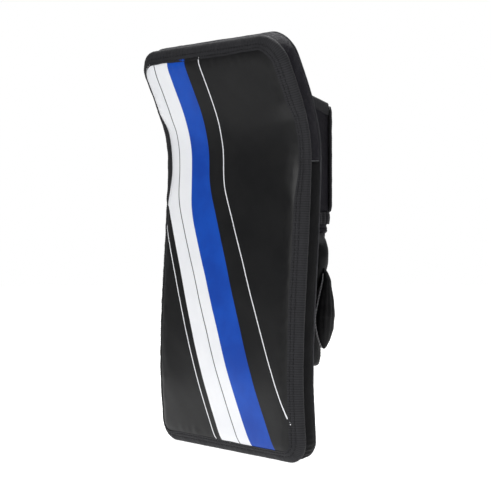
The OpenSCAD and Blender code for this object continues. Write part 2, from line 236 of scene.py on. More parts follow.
class Build:
    """Collects grids and faces with a length-true UV map, then makes one object."""

    def __init__(self):
        self.points, self.faces, self.uvs, self.count = [], [], [], 0
        self.fields = {}

    def add(self, p):
        start = self.count
        p = np.asarray(p, float).reshape(-1, 3)
        self.points.append(p)
        self.count += len(p)
        return start

    def quads(self, index, uv):
        self.faces.append(index.reshape(-1, 4))
        self.uvs.append(uv.reshape(-1, 4, 2))

    def grid(self, p, wrap_u=False, wrap_v=False, uv=None):
        nu, nv = p.shape[:2]
        start = self.add(p)
        a, b = np.meshgrid(
            np.arange(nu if wrap_u else nu - 1), np.arange(nv if wrap_v else nv - 1), indexing="ij"
        )
        a2, b2 = (a + 1) % nu, (b + 1) % nv
        index = start + np.stack([a * nv + b, a2 * nv + b, a2 * nv + b2, a * nv + b2], -1)
        if uv is None:
            u = path_length(p.mean(1) if not wrap_v else p[:, 0], wrap_u)
            v = path_length(p[nu // 2], wrap_v)
        else:
            u, v = uv
        corners = np.stack(
            [np.stack([u[a + i], v[b + j]], -1) for i, j in ((0, 0), (1, 0), (1, 1), (0, 1))], -2
        )
        self.quads(index, corners)
        return start + np.arange(nu * nv).reshape(nu, nv)

    def bridge(self, a, b, wrap=False):
        """Faces between two equal rows of vertex numbers."""
        n = len(a)
        i = np.arange(n if wrap else n - 1)
        j = (i + 1) % n
        index = np.stack([a[i], a[j], b[j], b[i]], -1)
        spots = ((i, 0), (i + 1, 0), (i + 1, 1), (i, 1))
        uv = np.stack([np.stack([c * 1.0, np.full(n if wrap else n - 1, w)], -1) for c, w in spots], -2)
        self.quads(index, uv)

    def solid(self, p, q, wrap_u=False, wrap_v=False, uv=None):
        """A closed shell between an outer and an inner grid."""
        a = self.grid(p, wrap_u, wrap_v, uv)
        b = self.grid(q, wrap_u, wrap_v, uv)
        if not wrap_u:
            self.bridge(a[0], b[0], wrap_v)
            self.bridge(a[-1], b[-1], wrap_v)
        if not wrap_v:
            self.bridge(a[:, 0], b[:, 0], wrap_u)
            self.bridge(a[:, -1], b[:, -1], wrap_u)
        return a, b

    def cap(self, ring, centre):
        """Closes a ring of vertices with a fan."""
        c = self.add([centre])
        n = len(ring)
        i = np.arange(n)
        index = np.stack([ring[i], ring[(i + 1) % n], np.full(n, c), np.full(n, c)], -1)
        self.quads(index, np.zeros((n, 4, 2)))

    def make(self, name, material, body=None, sharp=42):
        pts = np.concatenate(self.points) * MM
        faces, uvs = np.concatenate(self.faces), np.concatenate(self.uvs)
        tri = faces[:, 2] == faces[:, 3]
        me = bpy.data.meshes.new(name)
        polys = [f[:3].tolist() if t else f.tolist() for f, t in zip(faces, tri)]
        me.from_pydata(pts.tolist(), [], polys)
        keep = np.ones((len(faces), 4), bool)
        keep[tri, 3] = False
        layer = me.uv_layers.new(name="UVMap")
        layer.data.foreach_set("uv", uvs[keep].astype(np.float32).ravel())
        for key, values in self.fields.items():
            data = np.zeros(len(pts), np.float32)
            values = np.asarray(values, np.float32).ravel()
            data[: len(values)] = values
            me.attributes.new(key, "FLOAT", "POINT").data.foreach_set("value", data)
        bm = bmesh.new()
        bm.from_mesh(me)
        bmesh.ops.recalc_face_normals(bm, faces=bm.faces)
        bm.to_mesh(me)
        bm.free()
        me.shade_smooth()
        me.set_sharp_from_angle(angle=math.radians(sharp))
        ob = bpy.data.objects.new(name + "_sewn" if name in frame["nodes"] else name, me)
        bpy.context.scene.collection.objects.link(ob)
        me.materials.append(material)
        if body:
            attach(ob, body)
        return ob


def declare(ob, slot, *nodes, fill=None):
    if nodes:
        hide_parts(*nodes)
    return ob


def piece(b, name, material, slot, body="board", fill=None, sharp=42):
    """Makes a piece, which replaces the CAD node of its own name if there is one: that node is hidden."""
    nodes = [name] if name in frame["nodes"] else []
    return declare(b.make(name, M[material], body, sharp), slot, *nodes, fill=fill)


def ring(x0, x1, y0, y1, r, count):
    """Points and outward normals of a rounded rectangle, evenly spaced, from the middle of the y0 side
    towards +X."""
    quarter = math.pi / 2 * r
    sx, sy = (x1 - x0) - 2 * r, (y1 - y0) - 2 * r
    marks = np.cumsum([0, sx / 2, quarter, sy, quarter, sx, quarter, sy, quarter, sx / 2])
    s = np.arange(count) / count * marks[-1]
    p, n = np.zeros((count, 2)), np.zeros((count, 2))
    cx, cy = (x0 + x1) / 2, (y0 + y1) / 2
    hx, hy = sx / 2, sy / 2
    pieces = (
        ("line", (cx, y0), (1, 0), (0, -1)), ("arc", (cx + hx, cy - hy), -90, None),
        ("line", (x1, cy - hy), (0, 1), (1, 0)), ("arc", (cx + hx, cy + hy), 0, None),
        ("line", (cx + hx, y1), (-1, 0), (0, 1)), ("arc", (cx - hx, cy + hy), 90, None),
        ("line", (x0, cy + hy), (0, -1), (-1, 0)), ("arc", (cx - hx, cy - hy), 180, None),
        ("line", (cx - hx, y0), (1, 0), (0, -1)),
    )
    for k, (kind, at, way, normal) in enumerate(pieces):
        on = (s >= marks[k]) & (s <= marks[k + 1])
        u = s[on] - marks[k]
        if kind == "line":
            p[on] = np.array(at) + u[:, None] * np.array(way)
            n[on] = normal
        else:
            a = np.radians(way) + u / r
            n[on] = np.stack([np.cos(a), np.sin(a)], -1)
            p[on] = np.array(at) + r * n[on]
    return p, n


def lift(p, n, out):
    return p + n * np.asarray(out)[..., None]


# ---- Stitches ----

# Pitch, the stitched share of it, and the thread's radius, in millimetres
BINDING_SEAM, BACK_SEAM, TAPE_SEAM = (3.3, 0.78, 0.3), (3.3, 0.78, 0.28), (3.2, 0.78, 0.26)
WALL_SEAM, HEM_SEAM = (2.6, 0.75, 0.22), (3.0, 0.75, 0.25)
LEATHER_SEAM, FINGER_SEAM = (2.8, 0.75, 0.24), (2.4, 0.72, 0.2)
# One stitch: position along it from -0.5 to 0.5, and the thread's share of its full radius there
STITCH_RINGS = ((-0.5, 0.0), (-0.44, 0.75), (-0.2, 1.0), (0.2, 1.0), (0.44, 0.75), (0.5, 0.0))


def add_stitches(b, p, n, seam, wrap=False, sink=0.1):
    """A row of thread stitches along a path p that lies on a surface with normals n."""
    pitch, share, r = seam
    s = path_length(p, wrap)
    q, m = (np.concatenate([p, p[:1]]), np.concatenate([n, n[:1]])) if wrap else (p, n)
    count = max(1, int(s[-1] / pitch))
    sides = 6
    cos, sin = np.cos(angles(sides))[:, None], np.sin(angles(sides))[:, None]
    rise = np.array([r * (0.9 - 4.4 * u * u) for u, _ in STITCH_RINGS]) - sink
    for k in range(count):
        mid = (k + 0.5) * s[-1] / count
        spots = np.array([mid + pitch * share * u for u, _ in STITCH_RINGS])
        at = np.stack([np.interp(spots, s, q[:, i]) for i in range(3)], -1)
        up = unit(np.stack([np.interp(spots, s, m[:, i]) for i in range(3)], -1))
        side = unit(np.cross(unit(at[-1] - at[0]), up))
        rows = []
        for j in range(1, len(STITCH_RINGS) - 1):
            rad = r * STITCH_RINGS[j][1]
            rows.append(at[j] + up[j] * rise[j] + cos * side[j] * rad + sin * up[j] * rad)
        g = b.grid(np.array(rows), wrap_v=True, uv=(np.arange(4.0), np.arange(sides + 1.0)))
        b.cap(g[0], at[0] + up[0] * rise[0])
        b.cap(g[-1], at[-1] + up[-1] * rise[-1])


def stitch_piece(name, slot, rows, seam, body="board", **more):
    """One piece of thread from rows of points and normals."""
    b = Build()
    for p, n in rows:
        add_stitches(b, p, n, seam, **more)
    return piece(b, name, "thread", slot, body)


# ---- Materials ----


def add_node(tree, kind, inputs=(), **props):
    """A shader node, with its inputs linked or given a value."""
    n = tree.nodes.new("ShaderNode" + kind)
    for k, v in props.items():
        setattr(n, k, v)
    for k, v in dict(inputs).items():
        if isinstance(v, bpy.types.NodeSocket):
            tree.links.new(v, n.inputs[k])
        else:
            n.inputs[k].default_value = v
    return n


class Shader:
    """Short calls for building a procedural material."""

    def __init__(self, name, rough=0.5, spec=0.5, sheen=0.0):
        self.mat = bpy.data.materials.new(name)
        self.mat.use_nodes = True
        self.nt = self.mat.node_tree
        self.bsdf = self.nt.nodes["Principled BSDF"]
        self.bsdf.inputs["Roughness"].default_value = rough
        self.bsdf.inputs["Specular IOR Level"].default_value = spec
        self.bsdf.inputs["Sheen Weight"].default_value = sheen
        self.bsdf.inputs["Sheen Roughness"].default_value = 0.5

    def node(self, kind, inputs=(), **props):
        return add_node(self.nt, kind, inputs, **props)

    def uv(self, su=1.0, sv=1.0, turn=0.0):
        """The length-true map in millimetres, scaled per axis."""
        src = self.node("UVMap", uv_map="UVMap").outputs[0]
        return self.node("Mapping", {0: src, "Rotation": (0, 0, turn), "Scale": (su, sv, 1)}).outputs[0]

    def object_space(self):
        return self.node("TexCoord").outputs["Object"]

    def parts(self, vec):
        return self.node("SeparateXYZ", {0: vec}).outputs[:2]

    def math(self, op, a, b=0.0, c=0.0):
        return self.node("Math", {0: a, 1: b, 2: c}, operation=op).outputs[0]

    def mul(self, a, b):
        return self.math("MULTIPLY", a, b)

    def mad(self, a, b, c):
        """a times b, plus c."""
        return self.math("MULTIPLY_ADD", a, b, c)

    def but(self, mask):
        """1 where a mask is 0, and 0 where it is 1."""
        return self.math("SUBTRACT", 1.0, mask)

    def ribs(self, x, pitch):
        """Round ribs with sharp grooves, from 0 to 1."""
        return self.math("ABSOLUTE", self.math("SINE", self.mul(x, math.pi / pitch)))

    def noise(self, vec, scale, detail=3.0, rough=0.55, distort=0.0):
        inputs = {"Vector": vec, "Scale": scale, "Detail": detail, "Roughness": rough, "Distortion": distort}
        return self.node("TexNoise", inputs).outputs[0]

    def cells(self, vec, scale, feature="F1"):
        return self.node("TexVoronoi", {"Vector": vec, "Scale": scale}, feature=feature).outputs[0]

    def field(self, name):
        return self.node("Attribute", attribute_name=name).outputs["Fac"]

    def span(self, x, a, b, lo=0.0, hi=1.0):
        inputs = {0: x, 1: a, 2: b, 3: lo, 4: hi}
        return self.node("MapRange", inputs, interpolation_type="SMOOTHSTEP").outputs[0]

    def mix(self, fac, a, b):
        a, b = (v if isinstance(v, bpy.types.NodeSocket) else (*v[:3], 1.0) for v in (a, b))
        return self.node("Mix", {0: fac, 6: a, 7: b}, data_type="RGBA").outputs[2]

    def done(self, color=None, rough=None, height=None, depth=0.1):
        """Sets colour, roughness and bump. depth is the relief in millimetres."""
        for key, v in (("Base Color", color), ("Roughness", rough)):
            if v is not None:
                self.nt.links.new(v, self.bsdf.inputs[key])
        if height is not None:
            n = self.node("Bump", {"Height": height, "Strength": 1.0, "Distance": depth * MM})
            self.nt.links.new(n.outputs[0], self.bsdf.inputs["Normal"])
        return self.mat


def leather(name, dark, light, size, rough, depth, spec=0.14):
    """Pebbled leather: rounded cells with fine pores over them."""
    s = Shader(name, rough=rough, spec=spec)
    v = s.uv()
    pebble = s.span(s.cells(v, 1 / size, "DISTANCE_TO_EDGE"), 0.0, 0.25)
    h = s.mad(s.noise(v, 3.0 / size, 3.0), 0.35, s.mul(pebble, 0.65))
    wide = s.noise(v, 0.06, 4.0)
    worn = s.noise(v, 0.25, 5.0, 0.6)
    tone = s.mad(wide, 0.6, s.mul(worn, 0.4))
    color = s.mix(s.span(tone, 0.3, 0.72), dark, light)
    return s.done(color, s.mad(worn, 0.16, s.mad(h, -0.1, rough - 0.03)), h, depth)


def weave(name, dark, light, pitch, rough, depth, crinkle=0.0):
    """Basket weave: two sets of round yarns that pass over each other."""
    s = Shader(name, rough=rough, spec=0.10, sheen=0.02)
    u, w = s.parts(s.uv(1 / pitch, 1 / pitch))
    cu, cw = s.ribs(u, 1.0), s.ribs(w, 1.0)
    over = s.math("ABSOLUTE", s.math("MODULO", s.math("ADD", s.math("FLOOR", u), s.math("FLOOR", w)), 2.0))
    warp = s.mul(cu, s.mad(cw, 0.4, 0.6))
    weft = s.mul(cw, s.mad(cu, 0.4, 0.6))
    h = s.node("Mix", {0: over, 2: warp, 3: weft}, data_type="FLOAT").outputs[0]
    mm = s.uv()
    loose = s.noise(s.uv(3.0, 0.25), 1.0, 2.0)
    wide = s.noise(mm, 0.05, 4.0)
    # The colour follows the yarns' relief: crowns lighter and the grooves between yarns darker, which is
    # painted shade; the wide and loose noise add random tone.
    tone = s.mad(h, 0.55, s.mad(wide, 0.5, s.mul(loose, 0.2)))
    color = s.mix(s.span(tone, 0.25, 1.0), dark, light)
    height = s.mad(s.noise(mm, 0.16, 5.0, 0.6, 0.6), crinkle, h) if crinkle else h
    return s.done(color, s.mad(h, -0.12, rough + 0.06), height, depth)


def grosgrain(name, dark, light, rough=0.7):
    """Ribbed tape: ribs across its length, with fine threads along it and a little lint."""
    s = Shader(name, rough=rough, spec=0.24, sheen=0.04)
    u, w = s.parts(s.uv())
    rib, yarn = s.ribs(u, RIB), s.ribs(w, 0.55)
    lint = s.noise(s.uv(), 1.6, 5.0, 0.7)
    wide = s.noise(s.uv(), 0.07, 3.0)
    h = s.mad(yarn, 0.35, s.mad(lint, 0.3, s.mul(rib, 0.6)))
    # The colour follows the relief: rib crowns and yarns lighter, which is a painted highlight, and the
    # grooves between them darker, which is painted shade; the lint adds lighter fibres and the wide noise
    # random tone.
    tone = s.mad(wide, 0.4, s.mul(h, 0.75))
    color = s.mix(s.span(tone, 0.3, 1.0), dark, light)
    return s.done(color, s.mad(lint, 0.2, rough - 0.1), h, 0.12)


def knit(name, dark, light):
    s = Shader(name, rough=0.75, spec=0.2, sheen=0.06)
    u, w = s.parts(s.uv())
    rib, loop = s.ribs(u, 1.6), s.ribs(w, 0.9)
    fuzz = s.noise(s.uv(), 2.0, 5.0, 0.7)
    h = s.mad(loop, 0.3, s.mad(fuzz, 0.25, s.mul(rib, 0.6)))
    # The colour follows the relief: ribs and loops lighter and the grooves between them darker, which is
    # painted shade; the fuzz adds random tone.
    return s.done(s.mix(s.span(h, 0.2, 1.0), dark, light), None, h, 0.2)


def twist(s, turn, rate):
    """The slanting strands of a thread or a cord, from -1 to 1."""
    return s.math("SINE", s.mul(s.parts(s.uv(1.0, 1.0, turn))[0], rate))


def thread(name, dark, light):
    s = Shader(name, rough=0.6, spec=0.2, sheen=0.03)
    h = twist(s, 0.8, 5.0)
    # The colour follows the twist: each strand lighter on one side and darker on the other, which is painted
    # shade.
    return s.done(s.mix(s.span(h, -1.0, 1.0), dark, light), None, h, 0.05)


def cord(name, dark, light):
    s = Shader(name, rough=0.5, sheen=0.1)
    h = s.mad(s.noise(s.uv(), 1.2, 3.0), 0.3, twist(s, 0.7, 3.4))
    # The colour follows the relief: strand crowns lighter and the twist's grooves darker, which is painted
    # shade; the noise adds random tone.
    return s.done(s.mix(s.span(h, -1.0, 1.2), dark, light), None, h, 0.12)


def foam(name, dark, light):
    s = Shader(name, rough=0.9)
    v = s.object_space()
    h = s.mad(s.noise(v, 300.0, 4.0), 0.4, s.cells(v, 900.0))
    # The colour follows the relief: the cells' pits darker, which is painted shade; the noise adds random
    # tone.
    return s.done(s.mix(s.span(h, 0.1, 1.0), dark, light), None, h, 0.4)


def plastic(name, dark, light):
    s = Shader(name, rough=0.35)
    v = s.object_space()
    n = s.noise(v, 700.0, 3.0)
    return s.done(s.mix(s.noise(v, 25.0, 3.0), dark, light), s.mad(n, 0.2, 0.28), n, 0.04)


def pile(name, dark, light, scale, depth):
    """The hooks or the nap of a fastening tape."""
    s = Shader(name, rough=0.85, sheen=0.4)
    v = s.uv()
    h = s.mad(s.noise(v, scale * 0.6, 4.0, 0.7), 0.6, s.cells(v, scale))
    # The colour follows the relief: the low spots of the pile darker and the high ones lighter, which is
    # painted shade; the noise adds random tone.
    return s.done(s.mix(s.span(h, 0.2, 1.1), dark, light), None, h, depth)


def line_mask(s, offset, half):
    """1 within half of a line, from the signed distance to it."""
    return s.span(s.math("ABSOLUTE", offset), half + 0.14, half - 0.14)


def printed_leather():
    """The face's leather, with its plain printed stripes driven by distances stored on the mesh."""
    s = Shader("face_leather", rough=0.40, spec=0.31)
    v = s.uv()
    grain = s.mad(s.cells(v, 1.7, "DISTANCE_TO_EDGE"), 0.6, s.mul(s.noise(v, 3.2, 4.0), 0.5))
    wide = s.noise(v, 0.03, 4.0)
    scuff = s.noise(s.uv(0.5, 0.09, 0.35), 1.0, 6.0, 0.65)
    tone = s.span(wide, 0.3, 0.7)
    black = s.mix(tone, (0.0035, 0.0036, 0.0042), (0.0062, 0.0062, 0.0066))
    blue = s.mix(tone, (0.003, 0.050, 0.36), (0.004, 0.072, 0.46))
    white = s.mix(tone, (0.84, 0.85, 0.88), (0.88, 0.89, 0.91))
    soft = 0.12
    height, past_white = s.field("height"), s.field("white_blue")
    in_blue = s.mul(s.span(past_white, -soft, soft), s.span(s.field("blue_end"), soft, -soft))
    in_white = s.mul(s.span(past_white, soft, -soft), s.span(s.field("white_start"), -soft, soft))
    gap = s.mul(s.span(height, 33.6, 34.0), s.span(height, 36.4, 36.0))
    ended = s.mul(s.span(height, 27.6, 28.2), s.but(gap))
    right_pin = s.mul(line_mask(s, s.field("right_pin"), 0.55), ended)
    left_pin = s.mul(line_mask(s, s.field("left_pin"), 0.55), s.span(height, 186.0, 184.0))
    dark_pin = line_mask(s, s.field("dark_pin"), 0.52)
    pins = s.math("MAXIMUM", right_pin, left_pin)
    light_mask = s.math("MAXIMUM", s.mul(in_white, s.but(dark_pin)), pins)
    color = s.mix(light_mask, s.mix(in_blue, black, blue), white)
    return s.done(color, s.mad(scuff, 0.14, s.mad(wide, 0.06, 0.33)), grain, 0.035)


M = {
    "face": printed_leather(),
    "glove": leather("glove_leather", (0.0028, 0.0028, 0.0032), (0.008, 0.008, 0.009), 0.9, 0.5, 0.1),
    "palm": leather("palm_leather", (0.007, 0.007, 0.008), (0.018, 0.018, 0.02), 0.7, 0.6, 0.1),
    "vinyl": leather("wall_vinyl", (0.0022, 0.0022, 0.0026), (0.0052, 0.0052, 0.006), 1.1, 0.55, 0.07, 0.10),
    "nylon": weave("body_nylon", (0.003, 0.0026, 0.0045), (0.012, 0.0108, 0.0155), 0.75, 0.62, 0.16),
    "wall_nylon": weave("wall_nylon", (0.003, 0.0027, 0.0045), (0.0135, 0.012, 0.0175), 0.8, 0.5, 0.2, 1.6),
    "tape": grosgrain("edge_tape", (0.004, 0.004, 0.005), (0.022, 0.022, 0.025)),
    "knit": knit("elastic_knit", (0.003, 0.003, 0.004), (0.015, 0.0145, 0.017)),
    "foam": foam("foam", (0.10, 0.10, 0.11), (0.26, 0.27, 0.28)),
    "plate": plastic("plate_plastic", (0.70, 0.70, 0.67), (0.82, 0.82, 0.80)),
    "hook": pile("hook_tape", (0.006, 0.006, 0.007), (0.03, 0.03, 0.033), 1.3, 0.5),
    "loop": pile("loop_tape", (0.008, 0.008, 0.009), (0.04, 0.04, 0.043), 0.8, 0.7),
    "cord": cord("cord_grey", (0.10, 0.10, 0.105), (0.24, 0.24, 0.25)),
    "thread": thread("seam_thread", (0.003, 0.003, 0.0035), (0.014, 0.014, 0.016)),
    # bead_vinyl is a much lighter grey than the tape and walls: on the rear piping this paints the highlight
    # line along the board's rear edge, on top of the real highlight from the bead's roundness; the thumb
    # hood's bead uses it too.
    "bead": leather("bead_vinyl", (0.020, 0.020, 0.023), (0.05, 0.05, 0.055), 0.8, 0.4, 0.05),
}

# ---- Board: printed face over its foam ----


def panel_grid(inset, step):
    """Rows across the board whose ends follow the rounded outline at an inset."""
    low = inset + 14 * (1 - np.cos(np.linspace(0, math.pi / 2, 12)))
    high = BOARD_L - low[::-1]
    mid = np.linspace(low[-1], high[0], round((high[0] - low[-1]) / step) + 1)[1:-1]
    t = np.concatenate([low, mid, high])
    half = np.full(len(t), BOARD_HALF - inset)
    for r, side in ((CORNER_TOP - inset, BOARD_L - inset - t), (CORNER_BOTTOM - inset, t - inset)):
        d = np.clip(r - side, 0, r)
        half = np.where(side < r, BOARD_HALF - inset - r + np.sqrt(np.maximum(r * r - d * d, 0)), half)
    n = round(2 * (BOARD_HALF - inset) / step)
    u = np.linspace(-1, 1, n + 1)
    return half[:, None] * u[None, :], np.broadcast_to(t[:, None], (len(t), n + 1)).copy()


def pillow_depth(x, t):
    """Depth of the leather: it comes out from under the tape and rolls over to the flat middle."""
    i, z = edge_distance(x, t), height_at(t)
    rise = face_rise(z)
    start = rise - 0.5
    full = 7.5 - start
    under = -np.minimum(i, TAPE_W) / TAPE_W * rise + 0.55
    roll = -(start + full * (1 - np.exp(-np.maximum(i - TAPE_W, 0) * 0.62 / full)))
    return np.where(i < TAPE_W, under, roll)


def face_panel():
    x, t = panel_grid(6.8, 1.5)
    z, i = height_at(t), edge_distance(x, t)
    here = np.stack([x, 0 * x, t], -1)
    pucker = 0.22 * waves(here, 11, 3) * bump(i, 13, 4.5) * smooth(9.6, 12.0, i)
    soft = 0.22 * waves(here, 46, 4) * smooth(12, 30, i) + 0.05 * waves(here, 15, 5) * smooth(10, 20, i)
    depth = pillow_depth(x, t) - pucker - soft
    b = Build()
    uv = (t[:, t.shape[1] // 2], x[len(x) // 2] + BOARD_HALF)
    b.solid(on_board(x, t, depth), on_board(x, t, depth + COVER_T), uv=uv)

    def stripe(x0, zk, s):
        return x - (x0 + s * 6 * np.log1p(np.exp((zk - z) / 6)))

    fields = {
        "white_blue": stripe(-45.5, 196, 0.43),
        "blue_end": stripe(-22.6, 217, 0.41),
        "right_pin": stripe(-4.2, 217, 0.46),
        "dark_pin": stripe(-63.35, 204, 0.43),
        "white_start": x - (-144.4 + 0.39 * (374 - z)) + 40 * smooth(200, 215, z),
        "left_pin": x - (-134.8 + 0.40 * (323 - z)),
        "height": z,
    }
    b.fields = {k: np.concatenate([v.ravel(), v.ravel()]) for k, v in fields.items()}
    declare(b.make("padded_face", M["face"], "board"), "face_leather", "face_cover", fill=0.8)


def face_foam():
    x, t = panel_grid(10.4, 4.0)
    b = Build()
    b.solid(on_board(x, t, pillow_depth(x, t) + COVER_T + 0.35), on_board(x, t, 0 * x + 5.0))
    declare(b.make("face_foam", M["foam"], "board"), "foam", "face_padding", fill=0.9)


face_panel()
face_foam()

# ---- Board: bound edge ----


TAPE_INSETS = np.array([
    9.55, 9.35, 9.0, 8.4, 7.75, 7.3, 6.4, 5.6, 5.15, 4.6, 3.6,
    2.6, 1.6, 0.8, 0.3, 0.02, -0.08, 0.02, 0.3, 0.9, 1.7, 2.5,
])
TAPE_DEPTHS = np.array([
    0.45, 0.0, 0.0, 0.0, 0.22, 0.0, -0.22, 0.0, 0.24, 0.0, -0.28,
    -0.3, -0.2, 0.1, 0.45, 1.1, 1.9, 2.7, 3.35, 3.8, 3.95, 3.7,
])


def tape_depths(rise):
    """Depths of the tape's outside at its insets, from its inner edge on the face round to the wall."""
    k = TAPE_INSETS
    slope = np.clip(k, 0, 9.35) / 9.35
    return -rise[:, None] * slope[None, :] + TAPE_DEPTHS[None, :] - 0.1 * (k > 1)


def front_binding():
    path = outline(0.475)
    flat = on_board(path[:, 0], path[:, 1], 0)
    s = path_length(flat, True)
    s, total = s[:-1], s[-1]
    rise = face_rise(height_at(path[:, 1]))
    k, d = TAPE_INSETS, tape_depths(rise)
    wide = waves(flat, 60, 11)[:, None] * 0.55 + waves(flat, 16, 12)[:, None] * 0.2
    insets = k[None, :] + np.where(k[None, :] > 7, wide, 0)
    p = sweep(path, insets, d)
    middle = sweep(path, np.full_like(insets, 4.5), np.full_like(d, 2.0) - 0.5 * rise[:, None])
    n = outward(p, middle, wrap=True)
    ribs = round(total / RIB)
    rib = np.cos(s * 2 * math.pi * ribs / total)[:, None]
    flesh = smooth(9.5, 9.0, k)[None, :]
    pucker = (0.3 * waves(p, 12, 13) + 0.16 * waves(p, 5, 15)) * bump(k, 3.2, 2.6)[None, :]
    out = lift(p, n, (0.085 * rib + 0.05 * waves(p, 3.5, 14) + pucker) * flesh)
    b = Build()
    uv = (np.append(s, total) * ribs * RIB / total, path_length(p[0]))
    b.solid(out, lift(p, n, -TAPE_T), wrap_u=True, uv=uv)
    piece(b, "front_binding", "tape", "edge_tape", sharp=60)
    rows = [(np.roll(out[:, j], shift, 0), np.roll(n[:, j], shift, 0)) for j, shift in ((4, 0), (8, 4))]
    stitch_piece("binding_stitches", "edge_tape", rows, BINDING_SEAM, wrap=True, sink=0.02)


front_binding()

# ---- Board: side wall, piping and back ----


def open_outline(step, upper):
    """The outline over or under the side wall's seam, as an open path."""
    path = outline(step)
    t = path[:, 1]
    seam = length_at(SEAM_Z)
    on = t > seam if upper else t < seam
    if upper:
        return path[on]
    first = int(np.argmax(~on))
    last = len(on) - int(np.argmax(~on[::-1]))
    return np.concatenate([path[last:], path[:first]])


WALL_INSET = np.array([2.9, 2.35, 2.05, 1.85, 1.7, 1.62, 1.6, 1.65, 1.8, 2.05, 2.5, 3.1])
WALL_DEPTH = np.array([3.2, 3.7, 4.5, 5.6, 7.0, 8.4, 9.8, 11.2, 12.5, 13.6, 14.5, 15.0])


def side_wall(name, upper, material, slot):
    path = open_outline(1.2, upper)
    p = sweep(path, WALL_INSET, WALL_DEPTH)
    here = on_board(path[:, 0], path[:, 1], 9.0)
    mid = bump(WALL_DEPTH, 9.3, 4.6)[None, :]
    s = path_length(here)
    ends = np.minimum(s, s[-1] - s)
    if upper:
        out = 0.32 * waves(p, 13, 21) + 0.2 * waves(p, 5.5, 22)
        out = out * mid + 0.12 * mid
        out = out + (0.3 * smooth(3.2, 1.6, ends))[:, None] * bump(WALL_DEPTH, 9.3, 7)[None, :]
    else:
        corner = (np.abs(path[:, 2]) > 0.05) & (np.abs(path[:, 3]) > 0.05) & (height_at(path[:, 1]) < 40)
        near = np.convolve(corner.astype(float), np.ones(15) / 15, "same")
        gather = np.sin(s * 2 * math.pi / 5.2 + 1.4 * waves(here, 20, 24))
        out = (0.5 * near * gather)[:, None] * mid + 0.22 * waves(p, 24, 23) * mid
        out = out - 0.25 * bump(ends, 0.0, 1.0)[:, None]
    n = outward(p, sweep(path, np.full_like(WALL_INSET, 12.0), WALL_DEPTH))
    outer = lift(p, n, out)
    b = Build()
    b.solid(outer, lift(p, n, -0.9))
    piece(b, name, material, slot)
    return outer, n


upper_wall, upper_n = side_wall("side_wall_upper", True, "wall_nylon", "body_nylon")
side_wall("side_wall_lower", False, "vinyl", "wall_vinyl")


seams = [(upper_wall[row], upper_n[row]) for row in (2, -3)]
stitch_piece("wall_seam_stitches", "body_nylon", seams, WALL_SEAM)


def tube(b, centre, r, side_a, side_b, sides=8, wrap=False):
    """A round cord along a path, with its section in the plane of side_a and side_b."""
    a = angles(sides)
    r = np.broadcast_to(np.asarray(r, float), len(centre))
    c, d = np.cos(a)[None, :, None], np.sin(a)[None, :, None]
    p = centre[:, None, :] + r[:, None, None] * (c * side_a[:, None, :] + d * side_b[:, None, :])
    g = b.grid(p, wrap_u=wrap, wrap_v=True)
    if not wrap:
        b.cap(g[0], centre[0])
        b.cap(g[-1], centre[-1])


def rear_piping():
    path = outline(1.2)
    c = sweep(path, [3.0], [15.3])[:, 0]
    out = unit(sweep(path, [2.0], [15.3])[:, 0] - c)
    back = unit(sweep(path, [3.0], [16.3])[:, 0] - c)
    r = 0.95 + 0.07 * waves(c, 7, 31)
    b = Build()
    tube(b, c + out * (0.15 * waves(c, 30, 32))[:, None], r, out, back, 10, wrap=True)
    # The piping's lighter bead_vinyl paints the highlight along the rear edge.
    piece(b, "rear_piping", "bead", "edge_tape")


rear_piping()


def back_cover():
    x, t = panel_grid(3.3, 2.6)
    i = edge_distance(x, t)
    here = np.stack([x, 0 * x, t], -1)
    puff = 1.1 * smooth(3.3, 16, i) - 0.55 * bump(i, 9.0, 1.1)
    puff += 0.25 * waves(here, 34, 41) * smooth(12, 24, i)
    puff += 0.1 * waves(here, 9, 42) * bump(i, 8, 7)
    b = Build()
    b.solid(on_board(x, t, 14.9 + puff), on_board(x, t, 0 * x + 14.2))
    piece(b, "back_cover", "nylon", "body_nylon", fill=0.5)
    path = outline(1.5)
    p = sweep(path, [9.0], [15.4])[:, 0]
    n = unit(sweep(path, [9.0], [16.4])[:, 0] - p)
    stitch_piece("back_stitches", "body_nylon", [(p, n)], BACK_SEAM, wrap=True)


back_cover()

# ---- Padded panels that are swollen by a cloth simulation ----

SWOLLEN = []
CLOTH_FRAMES = 20


def swell(ob, pins, cap, stiff=15.0):
    """Queues a piece for the cloth simulation. pins is 0 to 1 per vertex, 1 held at its seam; cap limits
    how far a point may move, in millimetres."""
    SWOLLEN.append((ob, np.asarray(pins, float), cap, stiff))


